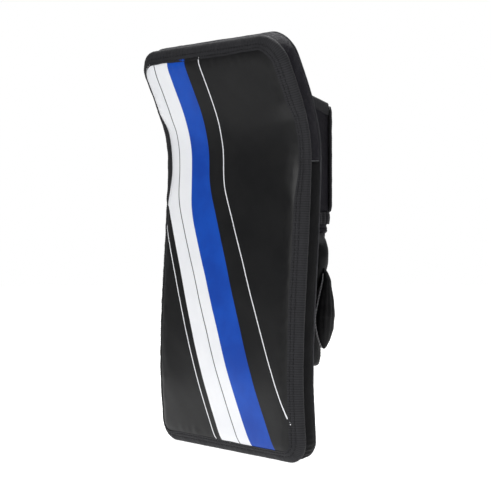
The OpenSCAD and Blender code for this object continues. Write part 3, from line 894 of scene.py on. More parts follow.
def run_cloth():
    """Simulates the queued pieces together, then keeps the result within each one's cap."""
    scene = bpy.context.scene
    for ob, pins, _, stiff in SWOLLEN:
        group = ob.vertex_groups.new(name="seam")
        for i, w in enumerate(pins):
            if w > 0:
                group.add([i], float(w), "REPLACE")
        m = ob.modifiers.new("cloth", "CLOTH")
        c = m.settings
        c.quality = 6
        c.mass = 0.3
        c.tension_stiffness = c.compression_stiffness = stiff
        c.shear_stiffness = stiff / 2
        c.bending_stiffness = 0.6
        c.use_pressure = True
        c.uniform_pressure_force = 4.0
        c.vertex_group_mass = "seam"
        c.effector_weights.gravity = 0
        m.point_cache.frame_start, m.point_cache.frame_end = 1, CLOTH_FRAMES
    scene.frame_start, scene.frame_end = 1, CLOTH_FRAMES
    for f in range(1, CLOTH_FRAMES + 1):
        scene.frame_set(f)
    dg = bpy.context.evaluated_depsgraph_get()
    results = []
    for ob, _, cap, _ in SWOLLEN:
        now = np.empty(len(ob.data.vertices) * 3)
        ob.evaluated_get(dg).data.vertices.foreach_get("co", now)
        was = np.empty_like(now)
        ob.data.vertices.foreach_get("co", was)
        move = (now - was).reshape(-1, 3)
        far = np.linalg.norm(move, axis=1)
        limit = cap * MM
        move *= (np.where(far > 1e-9, limit * np.tanh(far / limit), 0) / np.maximum(far, 1e-9))[:, None]
        results.append((ob, was.reshape(-1, 3) + move))
    for ob, points in results:
        ob.modifiers.clear()
        ob.vertex_groups.clear()
        ob.data.vertices.foreach_set("co", points.ravel())
        ob.data.update()
    scene.frame_set(1)


def bake(ob):
    """Applies the object's modifiers for good."""
    dg = bpy.context.evaluated_depsgraph_get()
    me = bpy.data.meshes.new_from_object(ob.evaluated_get(dg))
    ob.modifiers.clear()
    ob.data = me
    return me


def subdivide(ob):
    m = ob.modifiers.new("sub", "SUBSURF")
    m.levels = m.render_levels = 1
    old = ob.data
    me = bake(ob)
    me.name = ob.name
    bpy.data.meshes.remove(old)
    me.shade_smooth()


def box_map(me):
    """A length-true map from the side that each face looks to."""
    layer = me.uv_layers.get("UVMap") or me.uv_layers.new(name="UVMap")
    uv = np.empty((len(me.loops), 2), np.float32)
    for poly in me.polygons:
        n = [abs(c) for c in poly.normal]
        ax = (1, 2) if n[0] == max(n) else (0, 2) if n[1] == max(n) else (0, 1)
        for li in poly.loop_indices:
            co = me.vertices[me.loops[li].vertex_index].co
            uv[li] = co[ax[0]] / MM, co[ax[1]] / MM
    layer.data.foreach_set("uv", uv.ravel())


def padded_panel(name, first, last, low, tops, normal, thick, seed):
    """A nylon pad that stands between two x, y spots, thinner at its sewn edges. tops gives its height at
    each spot."""
    c = np.array([(*first, low), (*last, low), (*last, tops[1]), (*first, tops[0])], float)
    n = unit(np.array(normal, float))
    wu, wv = np.linalg.norm(c[1] - c[0]), np.linalg.norm(c[3] - c[0])
    nu, nv = max(8, round(wu / 2.6)), max(8, round(wv / 2.6))
    u, v = np.meshgrid(np.linspace(0, 1, nu + 1), np.linspace(0, 1, nv + 1), indexing="ij")
    flat = (
        c[0] * ((1 - u) * (1 - v))[..., None] + c[1] * (u * (1 - v))[..., None]
        + c[2] * (u * v)[..., None] + c[3] * ((1 - u) * v)[..., None]
    )
    e = np.minimum(np.minimum(u, 1 - u) * wu, np.minimum(v, 1 - v) * wv)
    full = 0.45 + (1 - 0.45) * (1 - np.exp(-e / 3.2))
    wrinkle = 0.25 * waves(flat, 16, seed) + 0.12 * waves(flat, 7, seed + 1)
    half = thick / 2 * full
    b = Build()
    b.solid(
        lift(flat, n, half + wrinkle * smooth(1, 8, e)),
        lift(flat, n, -(half + 0.5 * wrinkle * smooth(1, 8, e))),
    )
    ob = piece(b, name, "nylon", "body_nylon", None, fill=0.5)
    swell(ob, np.tile((e.ravel() < 1.0).astype(float), 2), cap=0.4 * thick - 0.6)
    return ob


def hinge_bend(ob):
    """Turns the flap's hinge edge round the cuff's corner."""
    for v in ob.data.vertices:
        v.co.y -= 2.0 * MM * float(smooth(39.5, 46.5, v.co.x / MM)) ** 2


def cuff_top(y):
    return CUFF_TOP_Z - CUFF_FALL * (y - CUFF_FRONT_Y)


top_f, top_r = cuff_top(CUFF_FRONT_Y), cuff_top(72.0)
CUFF_LOW_Z, CUFF_RIGHT_X, CUFF_LEFT_X = 195.2, 43.6, -44.0
CUFF_BACK_Y, CUFF_BACK_TOP_Z, UNDER_FLAP_Y = 23.2, 292.0, 68.5
# Name, first and last x, y, low z, top z at each, outward normal, thickness and seed
CUFF_PANELS = (
    ("cuff_side_right", (CUFF_RIGHT_X, 21.4), (CUFF_RIGHT_X, 70.1), CUFF_LOW_Z, (top_f, top_r),
     (1, 0, 0), 4.0, 51),
    ("cuff_side_left", (CUFF_LEFT_X, 21.4), (CUFF_LEFT_X, 66.9), CUFF_LOW_Z, (top_f, cuff_top(66.9)),
     (-1, 0, 0), 4.0, 53),
    ("cuff_back", (-42.2, CUFF_BACK_Y), (42.2, CUFF_BACK_Y), 195, 2 * (CUFF_BACK_TOP_Z,), (0, 1, 0), 4.0, 55),
    ("cuff_under_flap", (-46, UNDER_FLAP_Y), (6, UNDER_FLAP_Y), CUFF_LOW_Z, 2 * (284.6,), (0, 1, 0), 3.0, 57),
    ("cuff_flap", (-38, 73.75), (46, 73.75), 195.8, 2 * (282.9,), (0, 1, 0), 2.4, 59),
)
RIDERS = [(padded_panel(*row), "flap" if row[0] == "cuff_flap" else "board") for row in CUFF_PANELS]


def hand_back_pad():
    """The pad between board and hand: remeshed from the CAD's solid and swollen by the cloth."""
    ob = bpy.data.objects.new("hand_back_pad_sewn", frame["nodes"]["hand_back_pad"].data.copy())
    bpy.context.scene.collection.objects.link(ob)
    m = ob.modifiers.new("remesh", "REMESH")
    m.mode, m.voxel_size = "VOXEL", 4.0 * MM
    me = bake(ob)
    me.materials.clear()
    me.materials.append(M["nylon"])
    co = np.empty(len(me.vertices) * 3)
    me.vertices.foreach_get("co", co)
    co = co.reshape(-1, 3) / MM
    lowered = co[:, 1] - (front(np.clip(co[:, 2], 0, BOARD_H))[0] + BOARD_T)
    pins = smooth(3.5, 1.0, lowered)
    co[:, 0] *= 1 - 0.03 * (1 - pins)
    co[:, 1] += 0.5 * waves(co, 22, 61) * (1 - pins)
    me.vertices.foreach_set("co", (co * MM).ravel())
    swell(ob, pins, cap=3.2, stiff=8.0)
    return declare(ob, "body_nylon", "hand_back_pad", fill=0.7)


pad = hand_back_pad()
run_cloth()
for ob, body in (*RIDERS, (pad, "board")):
    subdivide(ob)
    if ob is pad:
        box_map(ob.data)
    if body == "flap":
        hinge_bend(ob)
    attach(ob, body)

# ---- Edge tapes on the cuff ----


def edge_tape(b, thread_rows, path, inward, normal, width, half, seed, wrap=False):
    """Tape folded over an edge, with a row of stitches on each side. path runs along the edge, inward
    points into the panel, and normal out of its face; half is half the panel's thickness."""
    s = path_length(path, wrap)
    total = s[-1]
    fine = np.linspace(0, total, max(4, round(total / 0.5)) + 1)[: -1 if wrap else None]

    def resample(a):
        a = np.broadcast_to(np.asarray(a, float), path.shape)
        q = np.concatenate([a, a[:1]]) if wrap else a
        return np.stack([np.interp(fine, s, q[:, i]) for i in range(3)], -1)

    p, w, n = resample(path), unit(resample(inward)), unit(resample(normal))
    h = half + 0.35
    profile = [
        (width, h - 0.25), (width - 0.2, h + 0.15), (width * 0.8, h + 0.05), (width * 0.62, h - 0.05),
        (width * 0.35, h + 0.12), (1.2, h + 0.1), (0.2, h * 0.8), (-0.35, h * 0.45), (-0.5, 0.0),
    ]
    profile += [(a, -c) for a, c in profile[-2::-1]]
    k, d = np.array(profile).T
    wide = 0.25 * waves(p, 22, seed)[:, None] * smooth(width * 0.7, width, k)[None, :]
    grid = p[:, None] + w[:, None] * (k + wide)[..., None] + n[:, None] * d[None, :, None]
    g = grid_normals(grid, wrap)
    centre = p[:, None] + w[:, None] * (k * 0 + width / 2)[None, :, None]
    g *= np.sign(((grid - centre) * g).sum(-1).mean(0))[None, :, None]
    rib = 0.07 * np.cos(fine * 2 * math.pi / RIB)[:, None]
    out = lift(grid, g, rib + 0.12 * waves(grid, 8, seed + 1))
    uv = (np.append(fine, total) if wrap else fine, path_length(grid[0]))
    b.solid(out, lift(grid, g, -0.5), wrap_u=wrap, uv=uv)
    for j in (2, len(k) - 3):
        add_stitches(thread_rows, out[:, j], g[:, j], TAPE_SEAM, wrap=wrap)


def cuff_tapes():
    b, rows = Build(), Build()
    runs = (
        ((CUFF_RIGHT_X, 21.6, top_f), (CUFF_RIGHT_X, 68.9, cuff_top(68.9)), (1, 0, 0), 2.0),
        ((CUFF_LEFT_X, 21.6, top_f), (CUFF_LEFT_X, 66.8, cuff_top(66.8)), (-1, 0, 0), 2.0),
        ((-41.6, CUFF_BACK_Y, CUFF_BACK_TOP_Z), (41.6, CUFF_BACK_Y, CUFF_BACK_TOP_Z), (0, 1, 0), 2.0),
        ((-41.8, UNDER_FLAP_Y, 284.4), (5.6, UNDER_FLAP_Y, 284.4), (0, 1, 0), 1.5),
    )
    t = np.linspace(0, 1, 40)[:, None]
    for k, (first, last, n, half) in enumerate(runs):
        path = np.array(first, float) * (1 - t) + np.array(last, float) * t
        edge_tape(b, rows, path, (0, 0, -1), n, CUFF_TAPE_W, half, 70 + 3 * k)
    piece(b, "cuff_top_binding", "tape", "edge_tape", sharp=60)
    piece(rows, "cuff_binding_stitches", "thread", "edge_tape")


cuff_tapes()


def flap_tape():
    """One tape all round the flap, with small round corners."""
    p, n = ring(-38.0, 46.2, 195.9, 282.8, 5.0, 200)
    path = np.insert(p, 1, 73.5, axis=1)
    b, rows = Build(), Build()
    edge_tape(b, rows, path, -np.insert(n, 1, 0.0, axis=1), (0, 1, 0), 5.6, 1.35, 88, wrap=True)
    hinge_bend(piece(b, "flap_binding", "tape", "edge_tape", "flap", sharp=60))
    hinge_bend(piece(rows, "flap_stitches", "thread", "edge_tape", "flap"))


flap_tape()

HOOK_PITCH = 1.7


def square(x, z, hx, hz):
    return (x - hx, z - hz), (x + hx, z - hz), (x + hx, z + hz), (x - hx, z + hz)


def add_hook(b, x, z, y, out):
    """A short stub that leans to +X, closed at both ends."""
    low = b.add([(u, y + out * 0.95, v) for u, v in square(x, z, 0.3, 0.3)])
    high = b.add([(u + 0.35, y + out * 1.5, v) for u, v in square(x, z, 0.12, 0.15)])
    idx = np.arange(4)
    b.bridge(low + idx, high + idx, True)
    for face in (high + idx, low + idx[::-1]):
        b.quads(face[None], np.zeros((1, 4, 2)))


def patch(name, y, out, material, body, hooks=False):
    """A patch of fastening tape on its CAD box: a thin pad with round corners and hooks or a nap."""
    lo, hi = (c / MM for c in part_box(name))
    b = Build()
    cx, cz = (lo.x + hi.x) / 2, (lo.z + hi.z) / 2
    loops = []
    for scale, rise in ((1.0, 0.0), (1.0, 0.7), (0.96, 1.0), (0.6, 1.0), (0.25, 1.0), (0.02, 1.0)):
        x0, x1, z0, z1 = ((v - c) * scale for v, c in ((lo.x, cx), (hi.x, cx), (lo.z, cz), (hi.z, cz)))
        p, _ = ring(x0, x1, z0, z1, max(0.1, 3 * scale), 72)
        q = np.stack([p[:, 0] + cx, np.zeros(72), p[:, 1] + cz], -1)
        q[:, 1] = y + out * (rise + (0.0 if hooks else 0.12 * waves(q, 2.5, 92)))
        loops.append(q)
    g = b.grid(np.array(loops), wrap_v=True)
    b.cap(g[-1], (cx, y + out, cz))
    b.cap(g[0], (cx, y, cz))
    if hooks:
        for i in range(int((hi.x - lo.x - 4) / HOOK_PITCH)):
            for j in range(int((hi.z - lo.z - 4) / HOOK_PITCH)):
                x = lo.x + 2 + (i + 0.5 * (j % 2)) * HOOK_PITCH
                add_hook(b, x, lo.z + 2 + j * HOOK_PITCH, y, out)
    piece(b, name, material, "hook_tape", body)


patch("loop_patch", 69.9, 1.1, "loop", "board")
patch("hook_patch", 72.1, -0.6, "hook", "flap", hooks=True)


def pull_tab():
    """A folded loop of ribbed webbing sewn to the flap's free edge."""
    lo, hi = (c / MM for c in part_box("pull_tab"))
    y = (lo.y + hi.y) / 2
    x = np.linspace(hi.x + 4, lo.x, 34)
    z = np.linspace(lo.z, hi.z, 20)
    gx, gz = np.meshgrid(x, z, indexing="ij")
    e = (gx - lo.x) / (hi.x - lo.x)
    half = 0.75 + 0.55 * smooth(0.9, 0.2, e) * np.sqrt(np.clip(1 - (1 - np.clip(e / 0.2, 0, 1)) ** 2, 0, 1))
    squeeze = 1 - 0.12 * smooth(0.25, 0, e) * np.abs((gz - gz.mean()) / 12) ** 4
    gx = hi.x + (gx - hi.x) * squeeze
    rib = 0.1 * np.cos(gz * 2 * math.pi / 1.6)
    p = np.stack([gx, y + 1.0 + half + rib, gz], -1)
    q = np.stack([gx, y + 1.0 - half + rib * 0.5, gz], -1)
    b = Build()
    b.solid(p, q)
    piece(b, "pull_tab", "tape", "edge_tape", "flap")


pull_tab()

# ---- Hand: panels, wrist sleeve and hem ----


def loops_at(heights, size, count):
    """Stacks rounded rectangles: size(z) gives x0, x1, y0, y1 and r."""
    p, n = [], []
    for z in heights:
        q, m = ring(*size(z), count)
        p.append(np.column_stack([q, np.full(count, z)]))
        n.append(np.column_stack([m, np.zeros(count)]))
    return np.array(p), np.array(n)


def hand_size(z):
    belly = math.sin(math.pi * (z - 109.5) / 52)
    half = 40.6 - 1.2 * smooth(146, 160, z) + 0.5 * belly
    return -half, half, 39.7, 69.6 + 1.3 * belly, 11.0


HAND_COUNT = 208
HAND_Z = np.linspace(110.2, 161.5, 36)
hand_p, hand_n = loops_at(HAND_Z, hand_size, HAND_COUNT)
HAND_PANELS = (
    ("palm_panel", 65, 143, "palm", 101), ("hand_side_left", 143, 169, "glove", 102),
    ("glove_back", 169, 247, "nylon", 103), ("hand_side_right", 39, 65, "glove", 104),
)


def hand_panel(name, first, last, material, seed):
    cols = np.arange(first, last + 1) % HAND_COUNT
    p, n = hand_p[:, cols], hand_n[:, cols]
    s = path_length(p[10])
    e = np.minimum(s, s[-1] - s)[None, :]
    ez = np.minimum(HAND_Z - HAND_Z[0], HAND_Z[-1] - HAND_Z)[:, None]
    out = 0.45 * waves(p, 17, seed) + 0.18 * waves(p, 7, seed + 20)
    out = out * smooth(0, 5, e) - 0.95 * np.exp(-((e / 1.1) ** 2)) - 0.7 * np.exp(-((ez / 1.2) ** 2))
    if name == "palm_panel":
        x, z = p[..., 0], p[..., 2]
        for z0, lean, depth in ((117.5, 0.05, 0.5), (124.0, -0.06, 0.35), (131.0, 0.10, 0.25)):
            out = out - depth * bump(z - z0 - lean * x + 0.8 * waves(p, 25, 7), 0, 0.9) * smooth(3, 12, e)
    outer = lift(p, n, out)
    b = Build()
    b.solid(outer, lift(p, n, -PANEL_T))
    slot = "body_nylon" if material == "nylon" else "glove_leather"
    return piece(b, name, material, slot, None), outer, n


def cut(ob, cutter):
    """Takes one shape out of another for good."""
    m = ob.modifiers.new("cut", "BOOLEAN")
    m.operation, m.solver, m.object = "DIFFERENCE", "EXACT", cutter
    me = bake(ob)
    data = cutter.data
    bpy.data.objects.remove(cutter)
    bpy.data.meshes.remove(data)
    me.shade_smooth()
    me.set_sharp_from_angle(angle=math.radians(40))


def pillar(x, y, z0, z1, rx, ry, sides=40):
    """A plain round cutter."""
    b = Build()
    a = angles(sides)
    rows = [np.column_stack([x + rx * np.cos(a), y + ry * np.sin(a), np.full(sides, z)]) for z in (z0, z1)]
    g = b.grid(np.array(rows), wrap_v=True)
    b.cap(g[0], (x, y, z0))
    b.cap(g[-1], (x, y, z1))
    return b.make("cutter", M["glove"])


def hand_pieces():
    rows = []
    for name, first, last, material, seed in HAND_PANELS:
        ob, outer, n = hand_panel(name, first, last, material, seed)
        if name == "hand_side_right":
            hole = pillar(0, 0, 30, 60, 4.6, 5.2)
            hole.data.transform(Matrix.Rotation(math.pi / 2, 4, "Y"))
            hole.data.transform(Matrix.Translation((0, 56.5 * MM, 152.5 * MM)))
            cut(ob, hole)
        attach(ob, "board")
        if name in ("palm_panel", "glove_back"):
            rows += [(outer[1:-1, col], n[1:-1, col]) for col in (3, outer.shape[1] - 4)]
    stitch_piece("hand_stitches", "glove_leather", rows, LEATHER_SEAM)


hand_pieces()


def palm_patch():
    """A second layer of leather sewn on the palm where the stick is held."""
    cols = np.arange(72, 137)
    p, n = hand_p[5:31, cols], hand_n[5:31, cols]
    s, h = path_length(p[5]), path_length(p[:, 20])
    ex = np.minimum(s, s[-1] - s)[None, :]
    ez = np.minimum(h, h[-1] - h)[:, None]
    corner = 7 - np.hypot(7 - np.minimum(ex, 7), 7 - np.minimum(ez, 7))
    e = np.where((ex < 7) & (ez < 7), corner, np.minimum(ex, ez))
    pull = np.clip(-e, 0, None)
    middle = len(cols) // 2
    p = p + unit(p[:, middle : middle + 1] - p) * pull[..., None] * 0.7
    rise = 1.5 * (1 - np.exp(-np.clip(e, 0, None) / 1.1)) + 0.25 * waves(p, 15, 109) * smooth(1, 5, e)
    outer = lift(p, n, rise - 0.35 * bump(e, 2.6, 0.8) + 0.25)
    b = Build()
    b.solid(outer, lift(p, n, -0.4))
    piece(b, "palm_patch", "palm", "glove_leather", fill=0.3)
    inner_row, inner_col = slice(4, -4), slice(6, -6)
    spots = ((3, inner_col), (-4, inner_col), (inner_row, 3), (inner_row, -4))
    rows = [(outer[spot], n[spot]) for spot in spots]
    stitch_piece("patch_stitches", "glove_leather", rows, LEATHER_SEAM)


palm_patch()


def root_band():
    """The strip of leather between the hand and its fingers, with a hole for each finger."""
    b = Build()
    rows = []
    for z, grow in ((109.4, -0.8), (109.9, 0.0), (111.2, 0.1), (112.0, -0.6)):
        q, _ = ring(-40.2 - grow, 40.2 + grow, 40.0 - grow, 69.4 + grow, 10.8, 160)
        rows.append(np.column_stack([q, np.full(160, z)]))
    g = b.grid(np.array(rows), wrap_v=True)
    b.cap(g[0], (0, 55, 109.4))
    b.cap(g[-1], (0, 55, 112.0))
    ob = piece(b, "finger_root_band", "glove", "glove_leather", None)
    for x, _ in FINGERS.values():
        cut(ob, pillar(x, 57.5, 105, 116, 7.8, 10.4, 32))
    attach(ob, "board")


root_band()


def open_ring(z_list, size, u0, u1, count):
    """The part of stacked rounded rectangles between two shares of the way round."""
    p, n = [], []
    for z in z_list:
        q, m = ring(*size(z), 600)
        s = np.linspace(u0, u1, count) * 600
        i0 = np.floor(s).astype(int)
        f = (s - i0)[:, None]
        qa = q[i0 % 600] * (1 - f) + q[(i0 + 1) % 600] * f
        ma = unit(m[i0 % 600] * (1 - f) + m[(i0 + 1) % 600] * f)
        p.append(np.column_stack([qa, np.full(count, z)]))
        n.append(np.column_stack([ma, np.zeros(count)]))
    return np.array(p), np.array(n)


SLEEVE_LOW_Z, SLEEVE_TOP_Z = 159.2, 187.0
HEM_LOW_Z, HEM_TOP_Z, HEM_POINTS = 185.6, 195.6, 560


def wrist_sleeve():
    """Thin nylon gathered between the cuff and the hand; its folds run round the wrist."""

    def size(z):
        k = float(smooth(166, 187, z))
        return -42.6 - 2.4 * k, 42.6 + 2.4 * k, 20.0, 69.8 + 1.7 * k, 8.0 - 2.0 * k

    z_list = np.linspace(SLEEVE_LOW_Z, SLEEVE_TOP_Z, 44)
    p, n = open_ring(z_list, size, 0.205, 0.795, 190)
    z = z_list[:, None]
    drift = 1.6 * waves(p * (1, 1, 0.2), 30, 111)
    folds = np.sin(2 * math.pi * (z + 2.4 * drift) / 7.4)
    fine = np.sin(2 * math.pi * (z - 1.5 * drift) / 3.6 + 1.0)
    keep = smooth(0, 3, z - SLEEVE_LOW_Z) * smooth(0, 3, SLEEVE_TOP_Z - z)
    folds = 0.6 * np.sign(folds) * np.abs(folds) ** 0.7
    out = 0.6 * keep + (folds + 0.25 * fine + 0.4 * waves(p, 11, 112)) * keep
    outer = lift(p, n, out)
    b = Build()
    b.solid(outer, lift(p, n, out - 1.0))
    piece(b, "wrist_sleeve", "nylon", "body_nylon")


wrist_sleeve()


def cuff_hem():
    """Gathered elastic hem under the cuff's panels."""
    z_list = np.linspace(HEM_LOW_Z, HEM_TOP_Z, 12)
    p, n = loops_at(z_list, lambda z: (-46.0, 46.0, 21.4, 72.4, 4.6), HEM_POINTS)
    s = np.arange(HEM_POINTS) * path_length(p[0], True)[-1] / HEM_POINTS
    gather = np.cos(s * 2 * math.pi / 3.9 + 1.2 * waves(p[0], 14, 121))[None, :]
    h = ((z_list - HEM_LOW_Z) / 10)[:, None]
    belly = np.sin(math.pi * h)
    out = 0.32 * gather * (0.35 + 0.65 * belly) + 0.55 * belly - 0.4 + 0.15 * waves(p, 9, 122)
    outer = lift(p, n, out)
    b = Build()
    b.solid(outer, lift(p, n, -2.2), wrap_v=True)
    piece(b, "cuff_hem", "knit", "elastic_knit")
    stitch_piece("hem_stitches", "elastic_knit", [(outer[9], n[9])], HEM_SEAM, wrap=True)


cuff_hem()

# ---- Fingers and thumb ----


def stall(b, heights, section, tip):
    """A leather stall: section(z) gives points and normals round it. tip closes its low end."""
    p, n = (np.array(v) for v in zip(*(section(z) for z in heights)))
    inner = lift(p, n, -STALL_T)
    if tip:
        inner[..., 2] = np.maximum(inner[..., 2], heights[-1] + STALL_T)
    a = b.grid(p, wrap_v=True)
    c = b.grid(inner, wrap_v=True)
    b.bridge(a[0], c[0], True)
    if tip:
        b.cap(a[-1], p[-1].mean(0) - (0, 0, 0.02))
        b.cap(c[-1], inner[-1].mean(0) + (0, 0, 0.02))
    else:
        b.bridge(a[-1], c[-1], True)
    return p, n


def superellipse(count, power):
    a = angles(count)
    c, s = np.cos(a), np.sin(a)
    return a, np.sign(c) * np.abs(c) ** (2 / power), np.sign(s) * np.abs(s) ** (2 / power)


def finger_section(xc, tip_z, joint_z, seed):
    a, cx, sy = superellipse(44, 2.35)
    seams = sum(bump(turned(a, q), 0, 0.10) for q in (0.55, math.pi - 0.55, math.pi + 0.6, -0.6))
    palm = np.clip(sy, 0, 1)

    def section(z):
        d = z - tip_z
        back = 50.8 - 7.2 * float(smooth(96, 111, z))
        scale = max(0.0, 1 - (1 - min(d / 9.0, 1.0)) ** 2.6) ** 0.4 if d < 9.0 else 1.0
        taper = float(smooth(tip_z + 26, tip_z + 8, z))
        rx = (FINGER_R - 0.2 + 0.4 * float(smooth(96, 110, z))) * (1 - 0.05 * taper)
        ry, yc = (70.0 - back) / 2 * (1 - 0.04 * taper), (70.0 + back) / 2
        yc = 70.0 - (70.0 - yc) * (0.35 + 0.65 * scale)
        here = np.column_stack([xc + rx * scale * cx, yc + ry * scale * sy, np.full(len(a), z)])
        out = -0.42 * seams * scale + 0.22 * waves(here, 9, seed) * scale
        for zc, depth in ((joint_z, 0.75), (joint_z + 4.2, 0.35), (joint_z - 4.6, 0.3), (107.0, 0.5)):
            out = out - depth * math.exp(-(((z - zc) / 0.9) ** 2)) * palm * scale
            out = out + 0.28 * math.exp(-(((z - zc - 2.0) / 1.5) ** 2)) * palm * scale
        nrm = unit(np.column_stack([cx / rx, sy / ry, 0 * a]))
        return here + nrm * out[:, None], nrm

    return section


def fingers():
    for k, (name, (xc, tip_z)) in enumerate(FINGERS.items()):
        joint = HAND_BOTTOM_Z - (HAND_BOTTOM_Z - tip_z) * JOINT_SHARE
        split = (HAND_BOTTOM_Z + joint) / 2
        section = finger_section(xc, tip_z, joint, 130 + k)
        b = Build()
        stall(b, np.linspace(113.0, split, 18), section, False)
        ob = piece(b, name + "_base", "glove", "glove_leather", None)
        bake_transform(ob)
        b = Build()
        low = tip_z + 10.5 * (1 - np.cos(np.linspace(math.pi / 2, 0.06, 13)))
        heights = np.concatenate([np.linspace(split, tip_z + 10.5, 22)[:-1], low])
        p, n = stall(b, heights, section, True)
        tip = piece(b, name + "_tip", "glove", "glove_leather", None)
        rows = [(p[1:-8, col], n[1:-8, col]) for col in (5, 19)]
        seam = stitch_piece(name + "_stitches", "glove_leather", rows, FINGER_SEAM, body=None)
        for ob in (tip, seam):
            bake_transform(ob)


fingers()


# Height, half thickness, and shift along FLAT_A
THUMB_SHAPE = np.array([
    (83.5, 0.0, 0.0), (84.2, 1.3, 0.0), (86.0, 2.7, 0.0), (90.0, 4.7, 0.0), (94.0, 6.2, 0.0),
    (100.0, 7.9, 0.0), (105.0, 8.7, 0.0), (111.0, 8.9, 0.2), (115.0, 8.6, 0.6), (123.0, 7.3, 1.1),
    (131.0, 5.6, 1.6),
    (140.0, 3.7, 2.1), (146.0, 2.3, 1.4), (150.5, 1.4, -0.4),
])
# The thumb's thin and wide directions in plan
FLAT_A, FLAT_B = np.array([0.654, 0.757]), np.array([0.757, -0.654])


def thumb_point(z, a):
    """Point and normal of the lens-shaped thumb: flat one way, wider across it."""
    r = float(np.interp(z, THUMB_SHAPE[:, 0], THUMB_SHAPE[:, 1]))
    shift = float(np.interp(z, THUMB_SHAPE[:, 0], THUMB_SHAPE[:, 2]))
    wide = max(r, float(np.interp(z, [84, 108, 125, 138, 146, 150.5], [0.0, 8.7, 7.4, 5.6, 3.6, 2.2])))
    a = np.atleast_1d(a)
    c, d = np.cos(a)[:, None], np.sin(a)[:, None]
    at = np.array([THUMB_X, THUMB_Y]) + shift * FLAT_A
    xy = at + r * c * FLAT_A + wide * d * FLAT_B
    n = unit(c / max(r, 0.1) * FLAT_A + d / max(wide, 0.1) * FLAT_B)
    z_col = np.full((len(a), 1), float(z))
    return np.hstack([xy, z_col]), np.hstack([n, 0 * z_col]), r


CORD_ANGLE = math.radians(143)


def thumb_section(z):
    a = angles(56)
    here, nrm, r = thumb_point(z, a)

    def near(angle, width):
        return bump(turned(a, angle), 0, width)

    full = math.sin(math.pi * min(max((z - 86) / 62, 0), 1))
    creases = 0.55 * near(0.75, 0.10) + 0.4 * near(1.25, 0.08)
    creases = creases + 0.3 * near(1.75, 0.08) + 0.35 * near(0.35, 0.07)
    swelling = 0.3 * near(1.0, 0.14) + 0.25 * near(1.5, 0.14) + 0.25 * near(2.1, 0.16)
    out = -0.5 * near(CORD_ANGLE, 0.14) - 0.45 * near(-2.2, 0.12) + (swelling - creases) * full
    out = out + 0.22 * waves(here, 11, 141)
    for zc in (THUMB_JOINT_Z, THUMB_JOINT_Z + 5, 128):
        out = out - 0.4 * math.exp(-(((z - zc) / 1.0) ** 2)) * np.clip(-np.sin(a), 0, 1)
    return here + nrm * (out * min(1, r / 5))[:, None], nrm


THUMB_SPLIT = 129.0
# Ends of an axis across the thumb's base and of one across its tip, in metres
THUMB_UP = dict(start=(0.0585, 0.0577, 0.1500), end=(0.0585, 0.0577, 0.1410))
THUMB_LOW = dict(start=(0.0515, 0.0577, 0.1190), end=(0.0515, 0.0577, 0.1080))


def thumb():
    low = THUMB_TIP_Z + (THUMB_FULL_Z - THUMB_TIP_Z) * (1 - np.cos(np.linspace(math.pi / 2, 0.05, 24)))
    tip_heights = np.concatenate([np.linspace(THUMB_SPLIT, THUMB_FULL_Z, 18)[:-1], low])
    upper = ("board", "thumb_root", THUMB_UP)
    lower = ("thumb_root", "thumb_end", THUMB_LOW)
    for name, heights, tip, (first, second, ends) in (
        ("thumb_base", np.linspace(150.5, THUMB_SPLIT, 20), False, upper),
        ("thumb_tip", tip_heights, True, lower),
    ):
        b = Build()
        stall(b, heights, thumb_section, tip)
        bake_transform(piece(b, name, "glove", "glove_leather", None))
    for name, z0, z1, (first, second, ends) in (
        ("thumb_piping_base", 145.5, THUMB_SPLIT, upper),
        ("thumb_piping_tip", THUMB_SPLIT, THUMB_TIP_Z + 1.2, lower),
    ):
        found = [thumb_point(z, CORD_ANGLE) for z in np.linspace(z0, z1, 60)]
        c = np.array([q[0] + n[0] * 0.35 for q, n, _ in found])
        tangent = unit(np.gradient(c, axis=0))
        side = unit(np.array([n[0] for _, n, _ in found]))
        b = Build()
        tube(b, c, 0.68 + 0.05 * np.sin(np.arange(60) * 1.9), side, unit(np.cross(tangent, side)))
        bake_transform(piece(b, name, "cord", "cord_grey", None))


thumb()


def thumb_hood():
    """Leather hood from the wrist down over the thumb's root, with a bead along its free edge."""
    z = np.linspace(114.0, 178.5, 48)
    a = np.radians(np.linspace(-96, 96, 34))
    spots = [114.0, 126.0, 140.0, 146.0, 152.0, 160.0, 168.0, 174.0, 178.5]
    reach = np.interp(z, spots, [1.5, 3.6, 7.6, 10.6, 12.8, 13.9, 12.4, 9.2, 4.8])
    depth = np.interp(z, spots, [4.0, 5.2, 6.4, 7.4, 8.2, 9.0, 9.0, 8.6, 7.0])
    reach, depth = (np.convolve(np.pad(v, 2, "edge"), np.ones(5) / 5, "valid") for v in (reach, depth))
    c, s = np.cos(a)[None, :], np.sin(a)[None, :]
    x = 41.0 + np.clip(reach[:, None], 0.5, None) * np.sign(c) * np.abs(c) ** 0.8
    y = 57.2 + depth[:, None] * s
    p = np.stack([x, y, np.broadcast_to(z[:, None], x.shape)], -1)
    n = outward(p, (44, 57, 160))
    out = 0.3 * waves(p, 10, 151)
    outer = lift(p, n, out)
    b = Build()
    b.solid(outer, lift(p, n, out - 1.5))
    piece(b, "thumb_web", "glove", "glove_leather")
    rim = Build()
    tube(rim, outer[0] - n[0] * 0.6, 0.75, n[0], unit(outer[0] - outer[1]))
    edge, up = outer[:, 4], n[:, 4]
    along = unit(np.gradient(edge, axis=0))
    tube(rim, edge + up * 0.35, 0.6, up, unit(np.cross(along, up)))
    piece(rim, "thumb_hood_bead", "bead", "glove_leather")


thumb_hood()

# ---- Materials on the CAD pieces that stay ----

for node, key in (("stiffener_plate", "plate"), ("foam_core", "foam")):
    me = frame["nodes"][node].data
    me.materials.clear()
    me.materials.append(M[key])

# ---- Stage, light and camera ----


FLOOR_Z = -0.3


